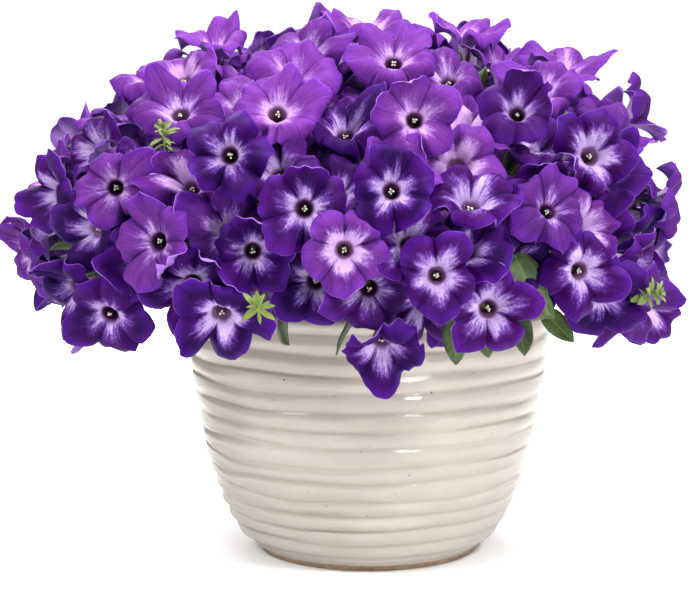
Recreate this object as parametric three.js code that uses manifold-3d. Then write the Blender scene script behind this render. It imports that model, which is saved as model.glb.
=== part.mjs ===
// A petunia in full bloom in a ribbed ceramic pot: the pot, its soil, forked leafy stems that
// stand in the soil, and sprays of five-lobed blooms at the ends of the branches.
// Millimetres, +Z up. The origin is the middle of the pot's underside, and the front faces -Y.

import * as THREE from 'three';
import { mergeVertices } from 'three/addons/utils/BufferGeometryUtils.js';
import Module from 'manifold-3d';

const wasm = await Module();
wasm.setup();

// ---------------------------------------------------------------- driving dimensions

// The clearance that pieces keep where they touch or pass each other.
const GAP = 0.35;

const POT = {
  height: 185,
  footRadius: 78.3,
  floorThickness: 12,
  sides: 28,
  ribCount: 13,
  ribsFrom: 11,
  ribsTo: 176,
  ribGrowth: 0.14,
  ribDepth: 2.2,
  ribCrest: 0.3,
  ribWave: 1.3,
  drainRadius: 7,
  drainCircle: 42,
  drainCount: 3,
};

// The pot's outer outline over its ribs' crests: height above the ground, and radius.
const POT_OUTLINE = [
  [6.8, 83.3],
  [13.8, 92.6],
  [26, 100.4],
  [37, 105.4],
  [57, 112.9],
  [84, 120.2],
  [119, 126.4],
  [148, 130.2],
  [185, 131.5],
];

// The foot under the ribs and the rounded rim over them: radius and height.
const POT_FOOT = [
  [0, 0],
  [POT.footRadius, 0],
  [POT.footRadius, 6],
  [83.3, 7.2],
];
const POT_RIM = [
  [129, 176],
  [131.5, 180],
  [129, 184.5],
  [125.5, POT.height],
];

// The inside of the pot, from its floor to the shoulder under the rim: height and radius.
const POT_INSIDE = [
  [POT.floorThickness, 80],
  [26, 92.4],
  [84, 112.2],
  [150, 122.3],
  [181, 122.8],
];

const SOIL = { top: 166, dome: 4, sideGap: 0.5, holeGap: 1 };

// The mound is half of one ellipsoid above its widest level and half of a flatter one below.
const MOUND = {
  centre: new THREE.Vector3(-12, 0, 228),
  halfWidth: 233,
  halfDepth: 228,
  rise: 148,
  drop: 135,
  lowestFill: 176,
};

const BLOOM = {
  radius: 31,
  throatDepth: 8,
  backDepth: 10.5,
  tubeTopRadius: 6.5,
  tubeLength: 27,
  stalkRadius: 2.1,
  stalkEndRadius: 1.5,
};

// The edge of a bloom from one notch to the next: the share of the lobe's width, the share of
// the bloom's radius, and the lift along the bloom's axis.
const LOBE = [
  [0, 0.74, -1.5],
  [0.21, 0.96, 0],
  [0.5, 1.03, -1.2],
  [0.79, 0.96, 0],
];
const LOBES = 5;

// How blooms find their places: the spacing of those that fill the sides and back, how far and
// in how many steps one may sink between its neighbours, and how far it may turn.
const PLACING = {
  spacing: 47,
  frontSpacing: 51,
  candidates: 520,
  lowest: -0.45,
  step: 4.5,
  steps: 8,
  reach: 85,
  steepest: 42,
  lean: 0.5,
  mostCrossing: 6,
};

const STEM = { radius: 3.2, branchRadius: 2.1, knotRadius: 4.6, holeDepth: 26, forkRise: 34 };

// Stems stand on two circles: the outer ones carry the sides of the mound, the inner its cap.
const STEM_CIRCLES = [
  { radius: 66, stems: 8, cap: false },
  { radius: 24, stems: 3, cap: true },
];
const CAP_HEIGHT = 0.78;
const SPRAYS_PER_STEM = 4;

// The swollen node where the stalks of a spray meet, over the end of its branch.
const NODE = { radius: 4.2, half: 4, past: 1, depth: 66, lowest: 210 };

const LEAF = {
  length: 40,
  width: 17,
  stalkWidth: 2.2,
  thickness: 1.1,
  fold: 0.26,
  count: 32,
  spacing: 27,
};

// The view that the picked blooms are placed by: an eye point, the point that it looks at,
// the distance in pixels from the eye to the picture, and the picture's middle.
const VIEW = {
  eye: new THREE.Vector3(-13.2, -1700, 420),
  target: new THREE.Vector3(-13.2, 0, 183),
  distance: 2381,
  middle: [350, 296.5],
};

// Blooms that show from the front, in the order in which they lie on top of each other:
// the pixel of the throat, then the way the bloom faces, in degrees to the right and upward.
const PICKED = [
  [345, 250, 4, 6],
  [303, 205, 0, 10],
  [227, 153, -8, 14],
  [112, 187, -8, 8],
  [438, 276, 4, 6],
  [491, 311, 8, 0],
  [372, 302, 4, -6],
  [307, 299, -6, 0],
  [220, 323, -4, -34],
  [585, 272, 18, 2],
  [539, 264, 10, 8],
  [595, 153, 18, 18],
  [417, 116, 8, 20],
  [469, 140, 6, 24],
  [519, 107, 4, 34],
  [308, 46, 0, 48],
  [178, 105, -10, 46],
  [278, 106, 4, 38],
  [544, 85, 8, 46],
  [393, 187, 4, 20],
  [244, 252, 4, 0],
  [210, 223, 8, 6],
  [178, 294, -12, -8],
  [104, 323, -20, -28],
  [435, 334, 4, -16],
  [382, 352, 0, -38],
  [24, 250, -72, -8],
  [48, 191, -58, 10],
  [84, 137, -48, 28],
  [125, 112, -24, 46],
  [61, 295, -48, -22],
  [638, 306, 42, -18],
  [673, 201, 72, 0],
  [671, 245, 70, -10],
  [641, 112, 74, 22],
  [636, 249, 42, 8],
  [649, 172, 50, 16],
  [601, 98, 24, 52],
  [565, 60, 40, 68],
  [512, 40, 30, 70],
  [467, 30, 20, 78],
  [420, 26, 10, 80],
  [366, 26, 10, 84],
  [260, 48, -6, 62],
  [214, 38, -12, 74],
  [180, 70, -24, 60],
  [148, 76, -36, 52],
  [215, 63, -14, 56],
  [294, 66, 0, 64],
  [394, 53, 2, 48],
  [452, 59, 4, 58],
  [424, 62, 0, 74],
  [345, 96, 4, 58],
  [335, 161, 14, 30],
  [377, 135, -12, 46],
  [477, 191, 6, 56],
  [482, 244, 4, 46],
  [398, 232, 4, 24],
  [600, 222, 22, 18],
  [554, 204, 16, 42],
  [570, 183, 16, 40],
  [520, 172, 20, 40],
  [177, 169, -14, 46],
  [112, 224, -10, 0],
  [70, 226, -42, 4],
  [91, 274, -26, -12],
  [436, 98, -8, 52],
  [479, 93, 8, 50],
  [614, 128, 28, 50],
  [576, 112, 22, 56],
  [229, 78, 0, 72],
  [323, 336, -4, -30],
  [150, 240, -20, 6],
  [152, 136, -22, 44],
  [255, 196, 0, 24],
  [272, 150, 0, 40],
  [430, 160, 4, 34],
  [525, 217, 10, 30],
  [610, 300, 26, -14],
];

// Leaf tips and shoots that show between and below the blooms: the pixel of the tip, the way
// the blade points in the picture, in degrees from straight up, and its length.
const PICKED_LEAVES = [
  [262, 299, 20, 36],
  [252, 306, -70, 30],
  [272, 312, 80, 28],
  [166, 128, -30, 30],
  [170, 136, 40, 26],
  [132, 70, 0, 30],
  [548, 326, 160, 40],
  [560, 322, 130, 36],
  [588, 332, 190, 34],
  [612, 328, 165, 34],
  [642, 306, 120, 34],
  [632, 282, 20, 30],
  [457, 370, 180, 28],
  [490, 362, 170, 26],
  [308, 118, 20, 28],
  [407, 83, 30, 26],
  [158, 195, -10, 30],
];

const COLOURS = {
  glaze: new THREE.MeshStandardMaterial({ color: 0xd6cfc3, roughness: 0.2, metalness: 0 }),
  soil: new THREE.MeshStandardMaterial({ color: 0x2e2219, roughness: 0.95, metalness: 0 }),
  leaf: new THREE.MeshStandardMaterial({ color: 0x4f7a2c, roughness: 0.6, metalness: 0 }),
  petal: new THREE.MeshStandardMaterial({ color: 0x6a20b0, roughness: 0.5, metalness: 0 }),
};

// ---------------------------------------------------------------- draws, directions, solids

const UP = new THREE.Vector3(0, 0, 1);
const FULL_TURN = 2 * Math.PI;
const degrees = (angle) => THREE.MathUtils.degToRad(angle);
const mix = (a, b, t) => a + (b - a) * t;
const between = (from, to) => new THREE.Vector3().subVectors(to, from);
const along = (start, way, distance) => start.clone().addScaledVector(way, distance);
const middleOf = (points) => points
  .reduce((sum, p) => sum.add(p), new THREE.Vector3()).divideScalar(points.length);

// Repeatable draws between 0 and 1, from one whole number.
function draws(seed) {
  let state = (Math.imul(seed + 1, 2654435761) ^ 0x9e3779b9) >>> 0;
  return () => {
    state = (Math.imul(state, 1664525) + 1013904223) >>> 0;
    return (state >>> 8) / 16777216;
  };
}

// Two directions square to a given one, turned by an angle about it.
function crossAxes(direction, turn = 0) {
  const helper = Math.abs(direction.z) < 0.9 ? UP : new THREE.Vector3(1, 0, 0);
  const side = new THREE.Vector3().crossVectors(helper, direction).normalize();
  const over = new THREE.Vector3().crossVectors(direction, side);
  const across = side.clone().multiplyScalar(Math.cos(turn)).addScaledVector(over, Math.sin(turn));
  return [across, new THREE.Vector3().crossVectors(direction, across)];
}

function solidOfArrays(vertProperties, triVerts) {
  return new wasm.Manifold(new wasm.Mesh({ numProp: 3, vertProperties, triVerts }));
}

// A closed solid from corner points and triangles of their numbers.
function solidOf(points, triangles) {
  return solidOfArrays(Float32Array.from(points.flatMap((p) => [p.x, p.y, p.z])),
    Uint32Array.from(triangles.flat()));
}

function solidOfGeometry(geometry) {
  geometry.deleteAttribute('normal');
  geometry.deleteAttribute('uv');
  const merged = mergeVertices(geometry, 1e-4);
  return solidOfArrays(Float32Array.from(merged.attributes.position.array),
    Uint32Array.from(merged.index.array));
}

function meshOf(name, solid, material) {
  const { vertProperties, triVerts } = solid.getMesh();
  const geometry = new THREE.BufferGeometry();
  geometry.setAttribute('position', new THREE.BufferAttribute(vertProperties, 3));
  geometry.setIndex(Array.from(triVerts));
  geometry.computeVertexNormals();
  const mesh = new THREE.Mesh(geometry, material);
  mesh.name = name;
  return mesh;
}

const joined = (solids) => solids.reduce((whole, next) => whole.add(next));
const without = (solid, cutters) => cutters.reduce((left, next) => left.subtract(next), solid);

function boxesMeet(a, b) {
  const [p, q] = [a.boundingBox(), b.boundingBox()];
  return [0, 1, 2].every((k) => p.min[k] <= q.max[k] && q.min[k] <= p.max[k]);
}

const cutClear = (solid, cutters) => without(solid, cutters.filter((cut) => boxesMeet(solid, cut)));

// The one largest body of a solid, without loose scraps.
function largestBody(solid) {
  return solid.decompose().reduce((best, next) => (next.volume() > best.volume() ? next : best));
}

// The same solid without the slivers that a cut leaves: corners closer than this are one.
function tidied(solid, nearest = 0.03) {
  const { vertProperties, triVerts } = solid.getMesh();
  const points = Array.from({ length: vertProperties.length / 3 },
    (_, i) => new THREE.Vector3().fromArray(vertProperties, i * 3));
  const same = points.map((_, i) => i);
  const root = (i) => (same[i] === i ? i : root(same[i]));
  for (let i = 0; i < triVerts.length; i += 1) {
    const [a, b] = [root(triVerts[i]), root(triVerts[i % 3 === 2 ? i - 2 : i + 1])];
    const close = points[a].distanceTo(points[b]) < nearest;
    if (a !== b && close) same[Math.max(a, b)] = Math.min(a, b);
  }
  const triangles = [];
  for (let i = 0; i < triVerts.length; i += 3) {
    const triangle = [0, 1, 2].map((k) => root(triVerts[i + k]));
    if (new Set(triangle).size === 3) triangles.push(triangle);
  }
  const used = [...new Set(triangles.flat())];
  const place = new Map(used.map((i, k) => [i, k]));
  return solidOf(used.map((i) => points[i]), triangles.map((t) => t.map((i) => place.get(i))));
}

// The triangles between rings of points that follow each other, and over both ends.
function ringTriangles(rings, sides, first = 0) {
  const triangles = [];
  for (let row = 0; row < rings - 1; row += 1) {
    for (let k = 0; k < sides; k += 1) {
      const [a, b] = [first + row * sides + k, first + row * sides + ((k + 1) % sides)];
      triangles.push([a, b, b + sides], [a, b + sides, a + sides]);
    }
  }
  return triangles;
}

// A stick through a list of points with a radius at each one, closed at both ends.
function stick(path, radii, sides, grow = 0) {
  const last = path.length - 1;
  const heading = path.map((_, i) => between(path[Math.max(i - 1, 0)], path[Math.min(i + 1, last)])
    .normalize());
  const [across] = crossAxes(heading[0]);
  const points = path.flatMap((place, i) => {
    const side = along(across, heading[i], -across.dot(heading[i])).normalize();
    const over = new THREE.Vector3().crossVectors(heading[i], side);
    const end = along(place, heading[i], i === 0 ? -grow : (i === last ? grow : 0));
    return Array.from({ length: sides }, (_, k) => {
      const angle = (FULL_TURN * k) / sides;
      const radius = radii[i] + grow * 1.4;
      return along(along(end, side, radius * Math.cos(angle)), over, radius * Math.sin(angle));
    });
  });
  const triangles = ringTriangles(path.length, sides);
  for (let k = 1; k < sides - 1; k += 1) {
    triangles.push([0, k + 1, k], [last * sides, last * sides + k, last * sides + k + 1]);
  }
  return solidOf(points, triangles);
}

// ---------------------------------------------------------------- pot and soil

// The radius of an outline at a height.
function radiusAt(outline, z) {
  const i = Math.max(1, outline.findIndex(([height]) => height >= z));
  const [z0, r0] = outline[i - 1];
  const [z1, r1] = outline[i];
  return mix(r0, r1, (z - z0) / (z1 - z0));
}

// The height of the groove under a rib: the ribs grow a little taller up the pot.
function ribFoot(rib) {
  const t = rib / POT.ribCount;
  return mix(POT.ribsFrom, POT.ribsTo, t * (1 - POT.ribGrowth + POT.ribGrowth * t));
}

// How far a rib wanders up and down on its way round the pot.
function ribWave(rib, angle) {
  const draw = draws(500 + rib);
  const [a, b, c] = [draw(), draw(), draw()].map((d) => d * FULL_TURN);
  return POT.ribWave * (0.6 * Math.sin(angle + a) + 0.5 * Math.sin(2 * angle + b)
    + 0.4 * Math.sin(5 * angle + c));
}

function buildPot() {
  const ribs = Array.from({ length: POT.ribCount }, (_, rib) => {
    const foot = ribFoot(rib);
    const crest = mix(foot, ribFoot(rib + 1), POT.ribCrest);
    return [[radiusAt(POT_OUTLINE, foot) - POT.ribDepth, foot], [radiusAt(POT_OUTLINE, crest), crest]];
  }).flat();
  const inside = [...POT_INSIDE].reverse().map(([z, r]) => [r, z]);
  const outline = [...POT_FOOT, ...ribs, ...POT_RIM, ...inside, [0, POT.floorThickness]];
  const profile = outline.map(([r, z]) => new THREE.Vector2(r, z));
  const geometry = new THREE.LatheGeometry(profile, POT.sides).rotateX(Math.PI / 2);
  const position = geometry.attributes.position;
  for (let i = 0; i < position.count; i += 1) {
    const place = (i % profile.length) - POT_FOOT.length;
    if (place < 0 || place >= ribs.length) continue;
    const angle = Math.atan2(position.getY(i), position.getX(i));
    position.setZ(i, position.getZ(i) + ribWave(Math.floor(place / 2), angle));
  }
  const drains = Array.from({ length: POT.drainCount }, (_, k) => {
    const angle = (FULL_TURN * k) / POT.drainCount + degrees(30);
    return solidOfGeometry(new THREE.CylinderGeometry(POT.drainRadius, POT.drainRadius, 40, 12)
      .rotateX(Math.PI / 2)
      .translate(POT.drainCircle * Math.cos(angle), POT.drainCircle * Math.sin(angle), 0));
  });
  return without(solidOfGeometry(geometry), drains);
}

// The soil follows the inside of the pot with a hair's gap, and each stem has a plain hole.
function buildSoil(stems) {
  const low = POT.floorThickness + GAP;
  const bends = POT_INSIDE.map(([z]) => z).filter((z) => z > low && z < SOIL.top);
  const side = [low, ...bends, SOIL.top].map((z) => [radiusAt(POT_INSIDE, z) - SOIL.sideGap, z]);
  const profile = [[0, low], ...side, [0, SOIL.top + SOIL.dome]]
    .map(([r, z]) => new THREE.Vector2(r, z));
  const body = solidOfGeometry(new THREE.LatheGeometry(profile, POT.sides).rotateX(Math.PI / 2));
  const holeRadius = STEM.radius + SOIL.holeGap;
  return without(body, stems.map((stem) => stick(
    [along(stem.foot, UP, -GAP), along(stem.foot, UP, 2 * STEM.holeDepth)],
    [holeRadius, holeRadius],
    5,
  )));
}

// ---------------------------------------------------------------- the mound's surface

// A point's offset from the mound's centre, as shares of the mound's size.
function moundShares(point) {
  const d = between(MOUND.centre, point);
  const rise = d.z > 0 ? MOUND.rise : MOUND.drop;
  return { d, size: new THREE.Vector3(MOUND.halfWidth, MOUND.halfDepth, rise) };
}

// The outward direction of the mound's surface at a point.
function moundNormal(point) {
  const { d, size } = moundShares(point);
  return d.divide(size).divide(size).normalize();
}

// How far out a point lies: less than 1 inside the mound, and 1 on its surface.
function moundShare(point) {
  const { d, size } = moundShares(point);
  return d.divide(size).length();
}

// The point of the mound that a pixel of the view shows, or the nearest one at its edge.
function moundPoint(px, py) {
  const forward = between(VIEW.eye, VIEW.target).normalize();
  const right = new THREE.Vector3().crossVectors(forward, UP).normalize();
  const above = new THREE.Vector3().crossVectors(right, forward);
  const ray = forward.clone().multiplyScalar(VIEW.distance)
    .addScaledVector(right, px - VIEW.middle[0])
    .addScaledVector(above, VIEW.middle[1] - py).normalize();
  const first = VIEW.eye.distanceTo(VIEW.target) - 300;
  const walk = Array.from({ length: 500 }, (_, step) => along(VIEW.eye, ray, first + step));
  return walk.find((place) => moundShare(place) <= 1)
    || walk.reduce((best, next) => (moundShare(next) < moundShare(best) ? next : best));
}

// A way of facing, in degrees to the right of the front and upward.
function facing(yaw, pitch) {
  const level = Math.cos(degrees(pitch));
  return new THREE.Vector3(Math.sin(degrees(yaw)) * level, -Math.cos(degrees(yaw)) * level,
    Math.sin(degrees(pitch)));
}

// The given direction, brought to within the steepest turn from the mound's own.
function eased(direction, normal) {
  const share = Math.min(1, degrees(PLACING.steepest) / direction.angleTo(normal));
  return normal.clone().lerp(direction, share).normalize();
}

// Points spread evenly over the mound along a spiral, down to a lowest level.
function spiral(count, lowest) {
  const turn = Math.PI * (3 - Math.sqrt(5));
  return Array.from({ length: count }, (_, i) => {
    const t = 1 - ((i + 0.5) * (1 - lowest)) / count;
    const ring = Math.sqrt(1 - t * t);
    const rise = t > 0 ? MOUND.rise : MOUND.drop;
    return new THREE.Vector3(MOUND.halfWidth * ring * Math.cos(turn * i),
      MOUND.halfDepth * ring * Math.sin(turn * i), rise * t).add(MOUND.centre);
  });
}

// ---------------------------------------------------------------- where the blooms sit

// A bloom's own places: a distance from its axis, an angle about it, and a height over its throat.
function bloomFrame(site) {
  const [across, over] = crossAxes(site.face, site.roll);
  return (r, angle, z) => site.throat.clone().addScaledVector(site.face, z)
    .addScaledVector(across, r * Math.cos(angle)).addScaledVector(over, r * Math.sin(angle));
}

// The lower end of a bloom's tube, where its stalk begins.
const neckOf = (site) => along(site.throat, site.face, -BLOOM.tubeLength);

// The heights of a bloom's two faces over its throat, at a distance from its axis.
function limbFaces(site, r) {
  const radius = BLOOM.radius * site.size;
  const inner = BLOOM.tubeTopRadius;
  return {
    top: mix(-BLOOM.throatDepth, site.cup, r / radius),
    bottom: mix(-BLOOM.backDepth, site.cup, Math.max(0, r - inner) / (radius - inner)),
  };
}

// Points all over a bloom, its tube among them, to test what it would cross.
function limbSamples(site) {
  const at = bloomFrame(site);
  const samples = [at(0, 0, -BLOOM.throatDepth), at(0, 0, -0.6 * BLOOM.tubeLength)];
  for (const [share, count] of [[1, 20], [0.72, 10], [0.4, 5]]) {
    const r = BLOOM.radius * site.size * share;
    const { top } = limbFaces(site, r);
    for (let k = 0; k < count; k += 1) samples.push(at(r, (FULL_TURN * k) / count, top));
  }
  return samples;
}

// How many of the given points lie in a bloom, or on the far side of it from the others.
function crossed(samples, bloom) {
  const skin = 0.8;
  let [above, below, inside] = [0, 0, 0];
  for (const p of samples) {
    const d = between(bloom.throat, p);
    const z = d.dot(bloom.face);
    const r = Math.sqrt(Math.max(0, d.lengthSq() - z * z));
    if (r > BLOOM.radius * bloom.size * 0.98) continue;
    const { top, bottom } = limbFaces(bloom, r);
    const inTube = z < bottom && z > -BLOOM.tubeLength && r < BLOOM.tubeTopRadius;
    if (inTube || (z > bottom - skin && z < top + skin)) inside += 1;
    else if (z > top) above += 1;
    else below += 1;
  }
  return inside + Math.min(above, below);
}

// The ways in which a bloom may settle, from the least changed to the most: how many steps it
// sinks, and how much it keeps of the way that it wants to face.
const SETTLING = Array.from({ length: PLACING.steps }, (_, step) => step)
  .flatMap((step) => [1, 0.5, 0.1].map((keep) => ({ step, keep, cost: step + 5 * (1 - keep) })))
  .sort((p, q) => p.cost - q.cost);

// A bloom sits as far out, and as near to the way it wants to face, as its neighbours allow.
function settle(site, placed) {
  const near = placed.filter((other) => other.surface.distanceTo(site.surface) < PLACING.reach);
  let best = null;
  for (const { step, keep } of SETTLING) {
    const trial = { ...site, throat: along(site.surface, site.normal, -step * PLACING.step) };
    trial.face = site.normal.clone().lerp(site.wish, keep).normalize();
    trial.samples = limbSamples(trial);
    trial.crossing = near.reduce((total, other) => total + crossed(trial.samples, other)
      + crossed(other.samples, trial), 0);
    if (best === null || trial.crossing < best.crossing) best = trial;
    if (best.crossing === 0) break;
  }
  return best;
}

// The picked blooms first, then the ones that fill the sides and the back of the mound.
function bloomSites() {
  const sites = [];
  const add = (surface, wish) => {
    const draw = draws(sites.length);
    const normal = moundNormal(surface);
    const site = { surface, normal, wish: eased(wish, normal) };
    site.roll = draw() * (FULL_TURN / LOBES);
    site.size = mix(0.9, 1.04, draw());
    site.cup = mix(-3, 4, draw());
    const settled = settle(site, sites);
    if (settled.crossing <= PLACING.mostCrossing) sites.push(settled);
  };
  PICKED.forEach(([px, py, yaw, pitch]) => add(moundPoint(px, py), facing(yaw, pitch)));
  for (const surface of spiral(PLACING.candidates, PLACING.lowest)) {
    const room = surface.y < -40 ? PLACING.frontSpacing : PLACING.spacing;
    const taken = sites.some((site) => site.surface.distanceTo(surface) < room);
    if (taken || surface.z < MOUND.lowestFill) continue;
    const draw = draws(900 + sites.length);
    const lean = new THREE.Vector3(draw() - 0.5, draw() - 0.5, draw() - 0.2);
    add(surface, along(moundNormal(surface), lean, PLACING.lean).normalize());
  }
  return sites;
}

// ---------------------------------------------------------------- stems and sprays

// The blooms in groups that one stem carries: an even share of the sides each, and of the cap.
function stemGroups(sites) {
  const isCap = (site) => site.surface.z - MOUND.centre.z >= CAP_HEIGHT * MOUND.rise;
  const angle = ({ surface }) => Math.atan2(surface.y - MOUND.centre.y, surface.x - MOUND.centre.x);
  return STEM_CIRCLES.flatMap(({ radius, stems, cap }) => {
    const members = sites.filter((site) => isCap(site) === cap).sort((a, b) => angle(a) - angle(b));
    const cut = (k) => Math.round((k * members.length) / stems);
    return Array.from({ length: stems }, (_, k) => ({
      circle: radius,
      members: members.slice(cut(k), cut(k + 1)),
    }));
  });
}

// A node lies under the middle of its blooms, and high enough to clear the pot's rim.
function planSpray(blooms) {
  const centre = middleOf(blooms.map((site) => site.throat));
  const node = along(centre, moundNormal(centre), -NODE.depth);
  node.z = Math.max(node.z, NODE.lowest);
  return { blooms, node };
}

function planStems(sites) {
  return stemGroups(sites).map(({ members, circle }) => {
    const middle = middleOf(members.map((site) => site.surface));
    const side = Math.atan2(middle.y, middle.x);
    const foot = new THREE.Vector3(circle * Math.cos(side), circle * Math.sin(side),
      SOIL.top - STEM.holeDepth);
    const share = Math.ceil(members.length / SPRAYS_PER_STEM);
    const sorted = [...members].sort((a, b) => a.surface.z - b.surface.z);
    const sprays = Array.from({ length: Math.ceil(sorted.length / share) },
      (_, i) => planSpray(sorted.slice(i * share, (i + 1) * share)));
    const fork = foot.clone().lerp(middleOf(sprays.map((spray) => spray.node)), 0.45);
    fork.z = Math.max(fork.z, SOIL.top + STEM.forkRise);
    sprays.forEach((spray) => {
      spray.way = between(fork, spray.node).normalize();
      const inLine = (site) => spray.way.dot(between(spray.node, neckOf(site)).normalize());
      spray.lead = spray.blooms.reduce((a, b) => (inLine(a) > inLine(b) ? a : b));
    });
    return { foot, fork, sprays };
  });
}

// The bare wood of a stem: its foot in the soil, the knot of its fork and a branch to every node.
function stemWood(stem, grow = 0) {
  const top = new THREE.Vector3(stem.foot.x, stem.foot.y, SOIL.top + 6);
  const rise = between(top, stem.fork).normalize();
  const trunk = stick(
    [stem.foot, top, along(stem.fork, rise, -9), along(stem.fork, rise, -4), along(stem.fork, rise, 5)],
    [STEM.radius, STEM.radius, STEM.branchRadius + 0.6, STEM.knotRadius, STEM.knotRadius * 0.8],
    4,
    grow,
  );
  const branches = stem.sprays.map(({ node, way }) => stick(
    [along(stem.fork, way, 2.4), along(node, way, -NODE.half - GAP)],
    [STEM.branchRadius, STEM.branchRadius],
    3,
    grow,
  ));
  return joined([trunk, ...branches]);
}

// ---------------------------------------------------------------- blooms

// The points of a bloom's limb: the throat, the edge, and the ring where the tube begins.
// A grown limb has a blunt edge, so that what it cuts keeps clear of it.
function limbPoints(site, grow) {
  const at = bloomFrame(site);
  const radius = BLOOM.radius * site.size;
  const edge = (lift) => Array.from({ length: LOBES }, (_, lobe) => LOBE
    .map(([share, reach, rise]) => at(radius * reach + grow,
      (FULL_TURN * (lobe + share)) / LOBES, site.cup + rise + lift))).flat();
  const ring = Array.from({ length: LOBES }, (_, k) => at(BLOOM.tubeTopRadius + grow,
    (FULL_TURN * k) / LOBES, -BLOOM.backDepth - grow));
  return [at(0, 0, -BLOOM.throatDepth + grow), ...edge(grow), ...(grow > 0 ? edge(-grow) : []), ...ring];
}

function limbTriangles(grow) {
  const count = LOBES * LOBE.length;
  const lower = grow > 0 ? 1 + count : 1;
  const ring = lower + count;
  const triangles = [];
  for (let i = 0; i < count; i += 1) {
    const n = (i + 1) % count;
    const lobe = Math.floor(i / LOBE.length);
    const next = (lobe + 1) % LOBES;
    triangles.push([0, 1 + i, 1 + n]);
    if (grow > 0) triangles.push([1 + i, lower + i, lower + n], [1 + i, lower + n, 1 + n]);
    triangles.push([lower + n, lower + i, ring + (i % LOBE.length < 2 ? lobe : next)]);
    if (i % LOBE.length === 1) triangles.push([lower + n, ring + lobe, ring + next]);
  }
  return triangles;
}

// The three-cornered rings of a bloom's stalk, from its neck to the spray's node. The lead bloom's
// stalk swells into the node, and ends flat over the branch.
function stalkPoints(site, spray, grow) {
  const at = bloomFrame(site);
  const neck = neckOf(site);
  const sides = [0, 1, 2].map((k) => between(neck,
    at(BLOOM.stalkRadius, (FULL_TURN * k) / 3 + FULL_TURN / 10, -BLOOM.tubeLength)));
  const ring = (centre, heading, radius) => sides.map((side) => centre.clone()
    .add(along(side, heading, -side.dot(heading)).setLength(radius + 2 * grow)));
  const { node, way } = spray;
  const inward = between(neck, node).normalize();
  const ends = spray.lead === site
    ? [...ring(along(node, way, NODE.half), way, NODE.radius),
      ...ring(along(node, way, -NODE.half - grow), way, 0.8 * NODE.radius)]
    : ring(along(node, inward, NODE.past), inward, BLOOM.stalkEndRadius);
  return [...ring(neck, site.face, BLOOM.stalkRadius), ...ends];
}

// One bloom in one body: its limb round the throat, the tube behind it, and its stalk.
function bloomSolid(site, spray, grow = 0) {
  const limb = limbPoints(site, grow);
  const stalk = stalkPoints(site, spray, grow);
  const triangles = limbTriangles(grow);
  const ring = limb.length - LOBES;
  const neck = limb.length;
  // The corner of the three-sided stalk that each corner of the five-sided tube narrows to.
  const corners = [0, 0, 1, 1, 2];
  corners.forEach((corner, k) => {
    const next = (k + 1) % LOBES;
    triangles.push([ring + next, ring + k, neck + corner]);
    if (corners[next] !== corner) triangles.push([ring + next, neck + corner, neck + corners[next]]);
  });
  const rings = stalk.length / 3;
  triangles.push(...ringTriangles(rings, 3, neck).map(([a, b, c]) => [b, a, c]));
  const last = neck + stalk.length - 3;
  triangles.push([last + 1, last, last + 2]);
  return solidOf([...limb, ...stalk], triangles);
}

// The blooms of every spray as solids, and grown cutters that clear them.
function bloomPieces(stems) {
  return stems.flatMap((stem) => stem.sprays).map((spray) => ({
    blooms: spray.blooms.map((site) => bloomSolid(site, spray)),
    cuts: spray.blooms.map((site) => bloomSolid(site, spray, GAP)),
  }));
}

// A spray gives way to the bare wood and to the blooms of the sprays before it.
function buildSprays(pieces, wood) {
  return pieces.map(({ blooms }, index) => {
    const cuts = [...wood, ...pieces.slice(0, index).flatMap((other) => other.cuts)];
    return tidied(largestBody(cutClear(joined(blooms), cuts)));
  });
}

// ---------------------------------------------------------------- leaves

// The outline of a leaf on its stalk: the share of the blade's length, the share of half its
// width, and the share of its fold. Below the blade the points lie at the leaf's root.
const LEAF_OUTLINE = [
  [-1, -LEAF.stalkWidth / LEAF.width, 0],
  [-1, LEAF.stalkWidth / LEAF.width, 0],
  [0, -LEAF.stalkWidth / LEAF.width, 0],
  [0, LEAF.stalkWidth / LEAF.width, 0],
  [0.36, -1, 1],
  [0.36, 0, 0],
  [0.36, 1, 1],
  [0.72, -0.7, 0.7],
  [0.72, 0, 0],
  [0.72, 0.7, 0.7],
  [1, 0, -0.4],
];
const LEAF_FACE = [
  [0, 1, 3],
  [0, 3, 2],
  [2, 5, 4],
  [2, 3, 5],
  [3, 6, 5],
  [4, 5, 8],
  [4, 8, 7],
  [5, 6, 8],
  [6, 9, 8],
  [7, 8, 10],
  [8, 9, 10],
];
const LEAF_EDGE = [0, 1, 3, 6, 9, 10, 7, 4, 2];

// The directions and the half width of a leaf's blade.
function bladeFrame(leaf) {
  const way = between(leaf.base, leaf.tip);
  const length = way.length();
  way.normalize();
  const side = new THREE.Vector3().crossVectors(way, leaf.normal).normalize();
  const over = new THREE.Vector3().crossVectors(side, way);
  return { way, side, over, length, half: (length * LEAF.width) / LEAF.length / 2 };
}

// A pointed leaf, folded along its midrib: both faces have the same triangles.
function leafSolid(leaf, grow = 0) {
  const { way, side, over, length, half } = bladeFrame(leaf);
  const at = ([share, width, fold], face) => {
    const axis = share < 0 ? leaf.root : along(leaf.base, way, share * length);
    return axis.clone()
      .addScaledVector(way, share === 1 ? grow : 0)
      .addScaledVector(side, width * half + Math.sign(width) * grow)
      .addScaledVector(over, fold * LEAF.fold * half + face * (LEAF.thickness / 2 + grow));
  };
  const points = [1, -1].flatMap((face) => LEAF_OUTLINE.map((place) => at(place, face)));
  const other = LEAF_OUTLINE.length;
  const triangles = LEAF_FACE.flatMap(([a, b, c]) => [[a, b, c], [a + other, c + other, b + other]]);
  LEAF_EDGE.forEach((a, i) => {
    const b = LEAF_EDGE[(i + 1) % LEAF_EDGE.length];
    triangles.push([a, a + other, b], [b, a + other, b + other]);
  });
  return solidOf(points, triangles);
}

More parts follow.
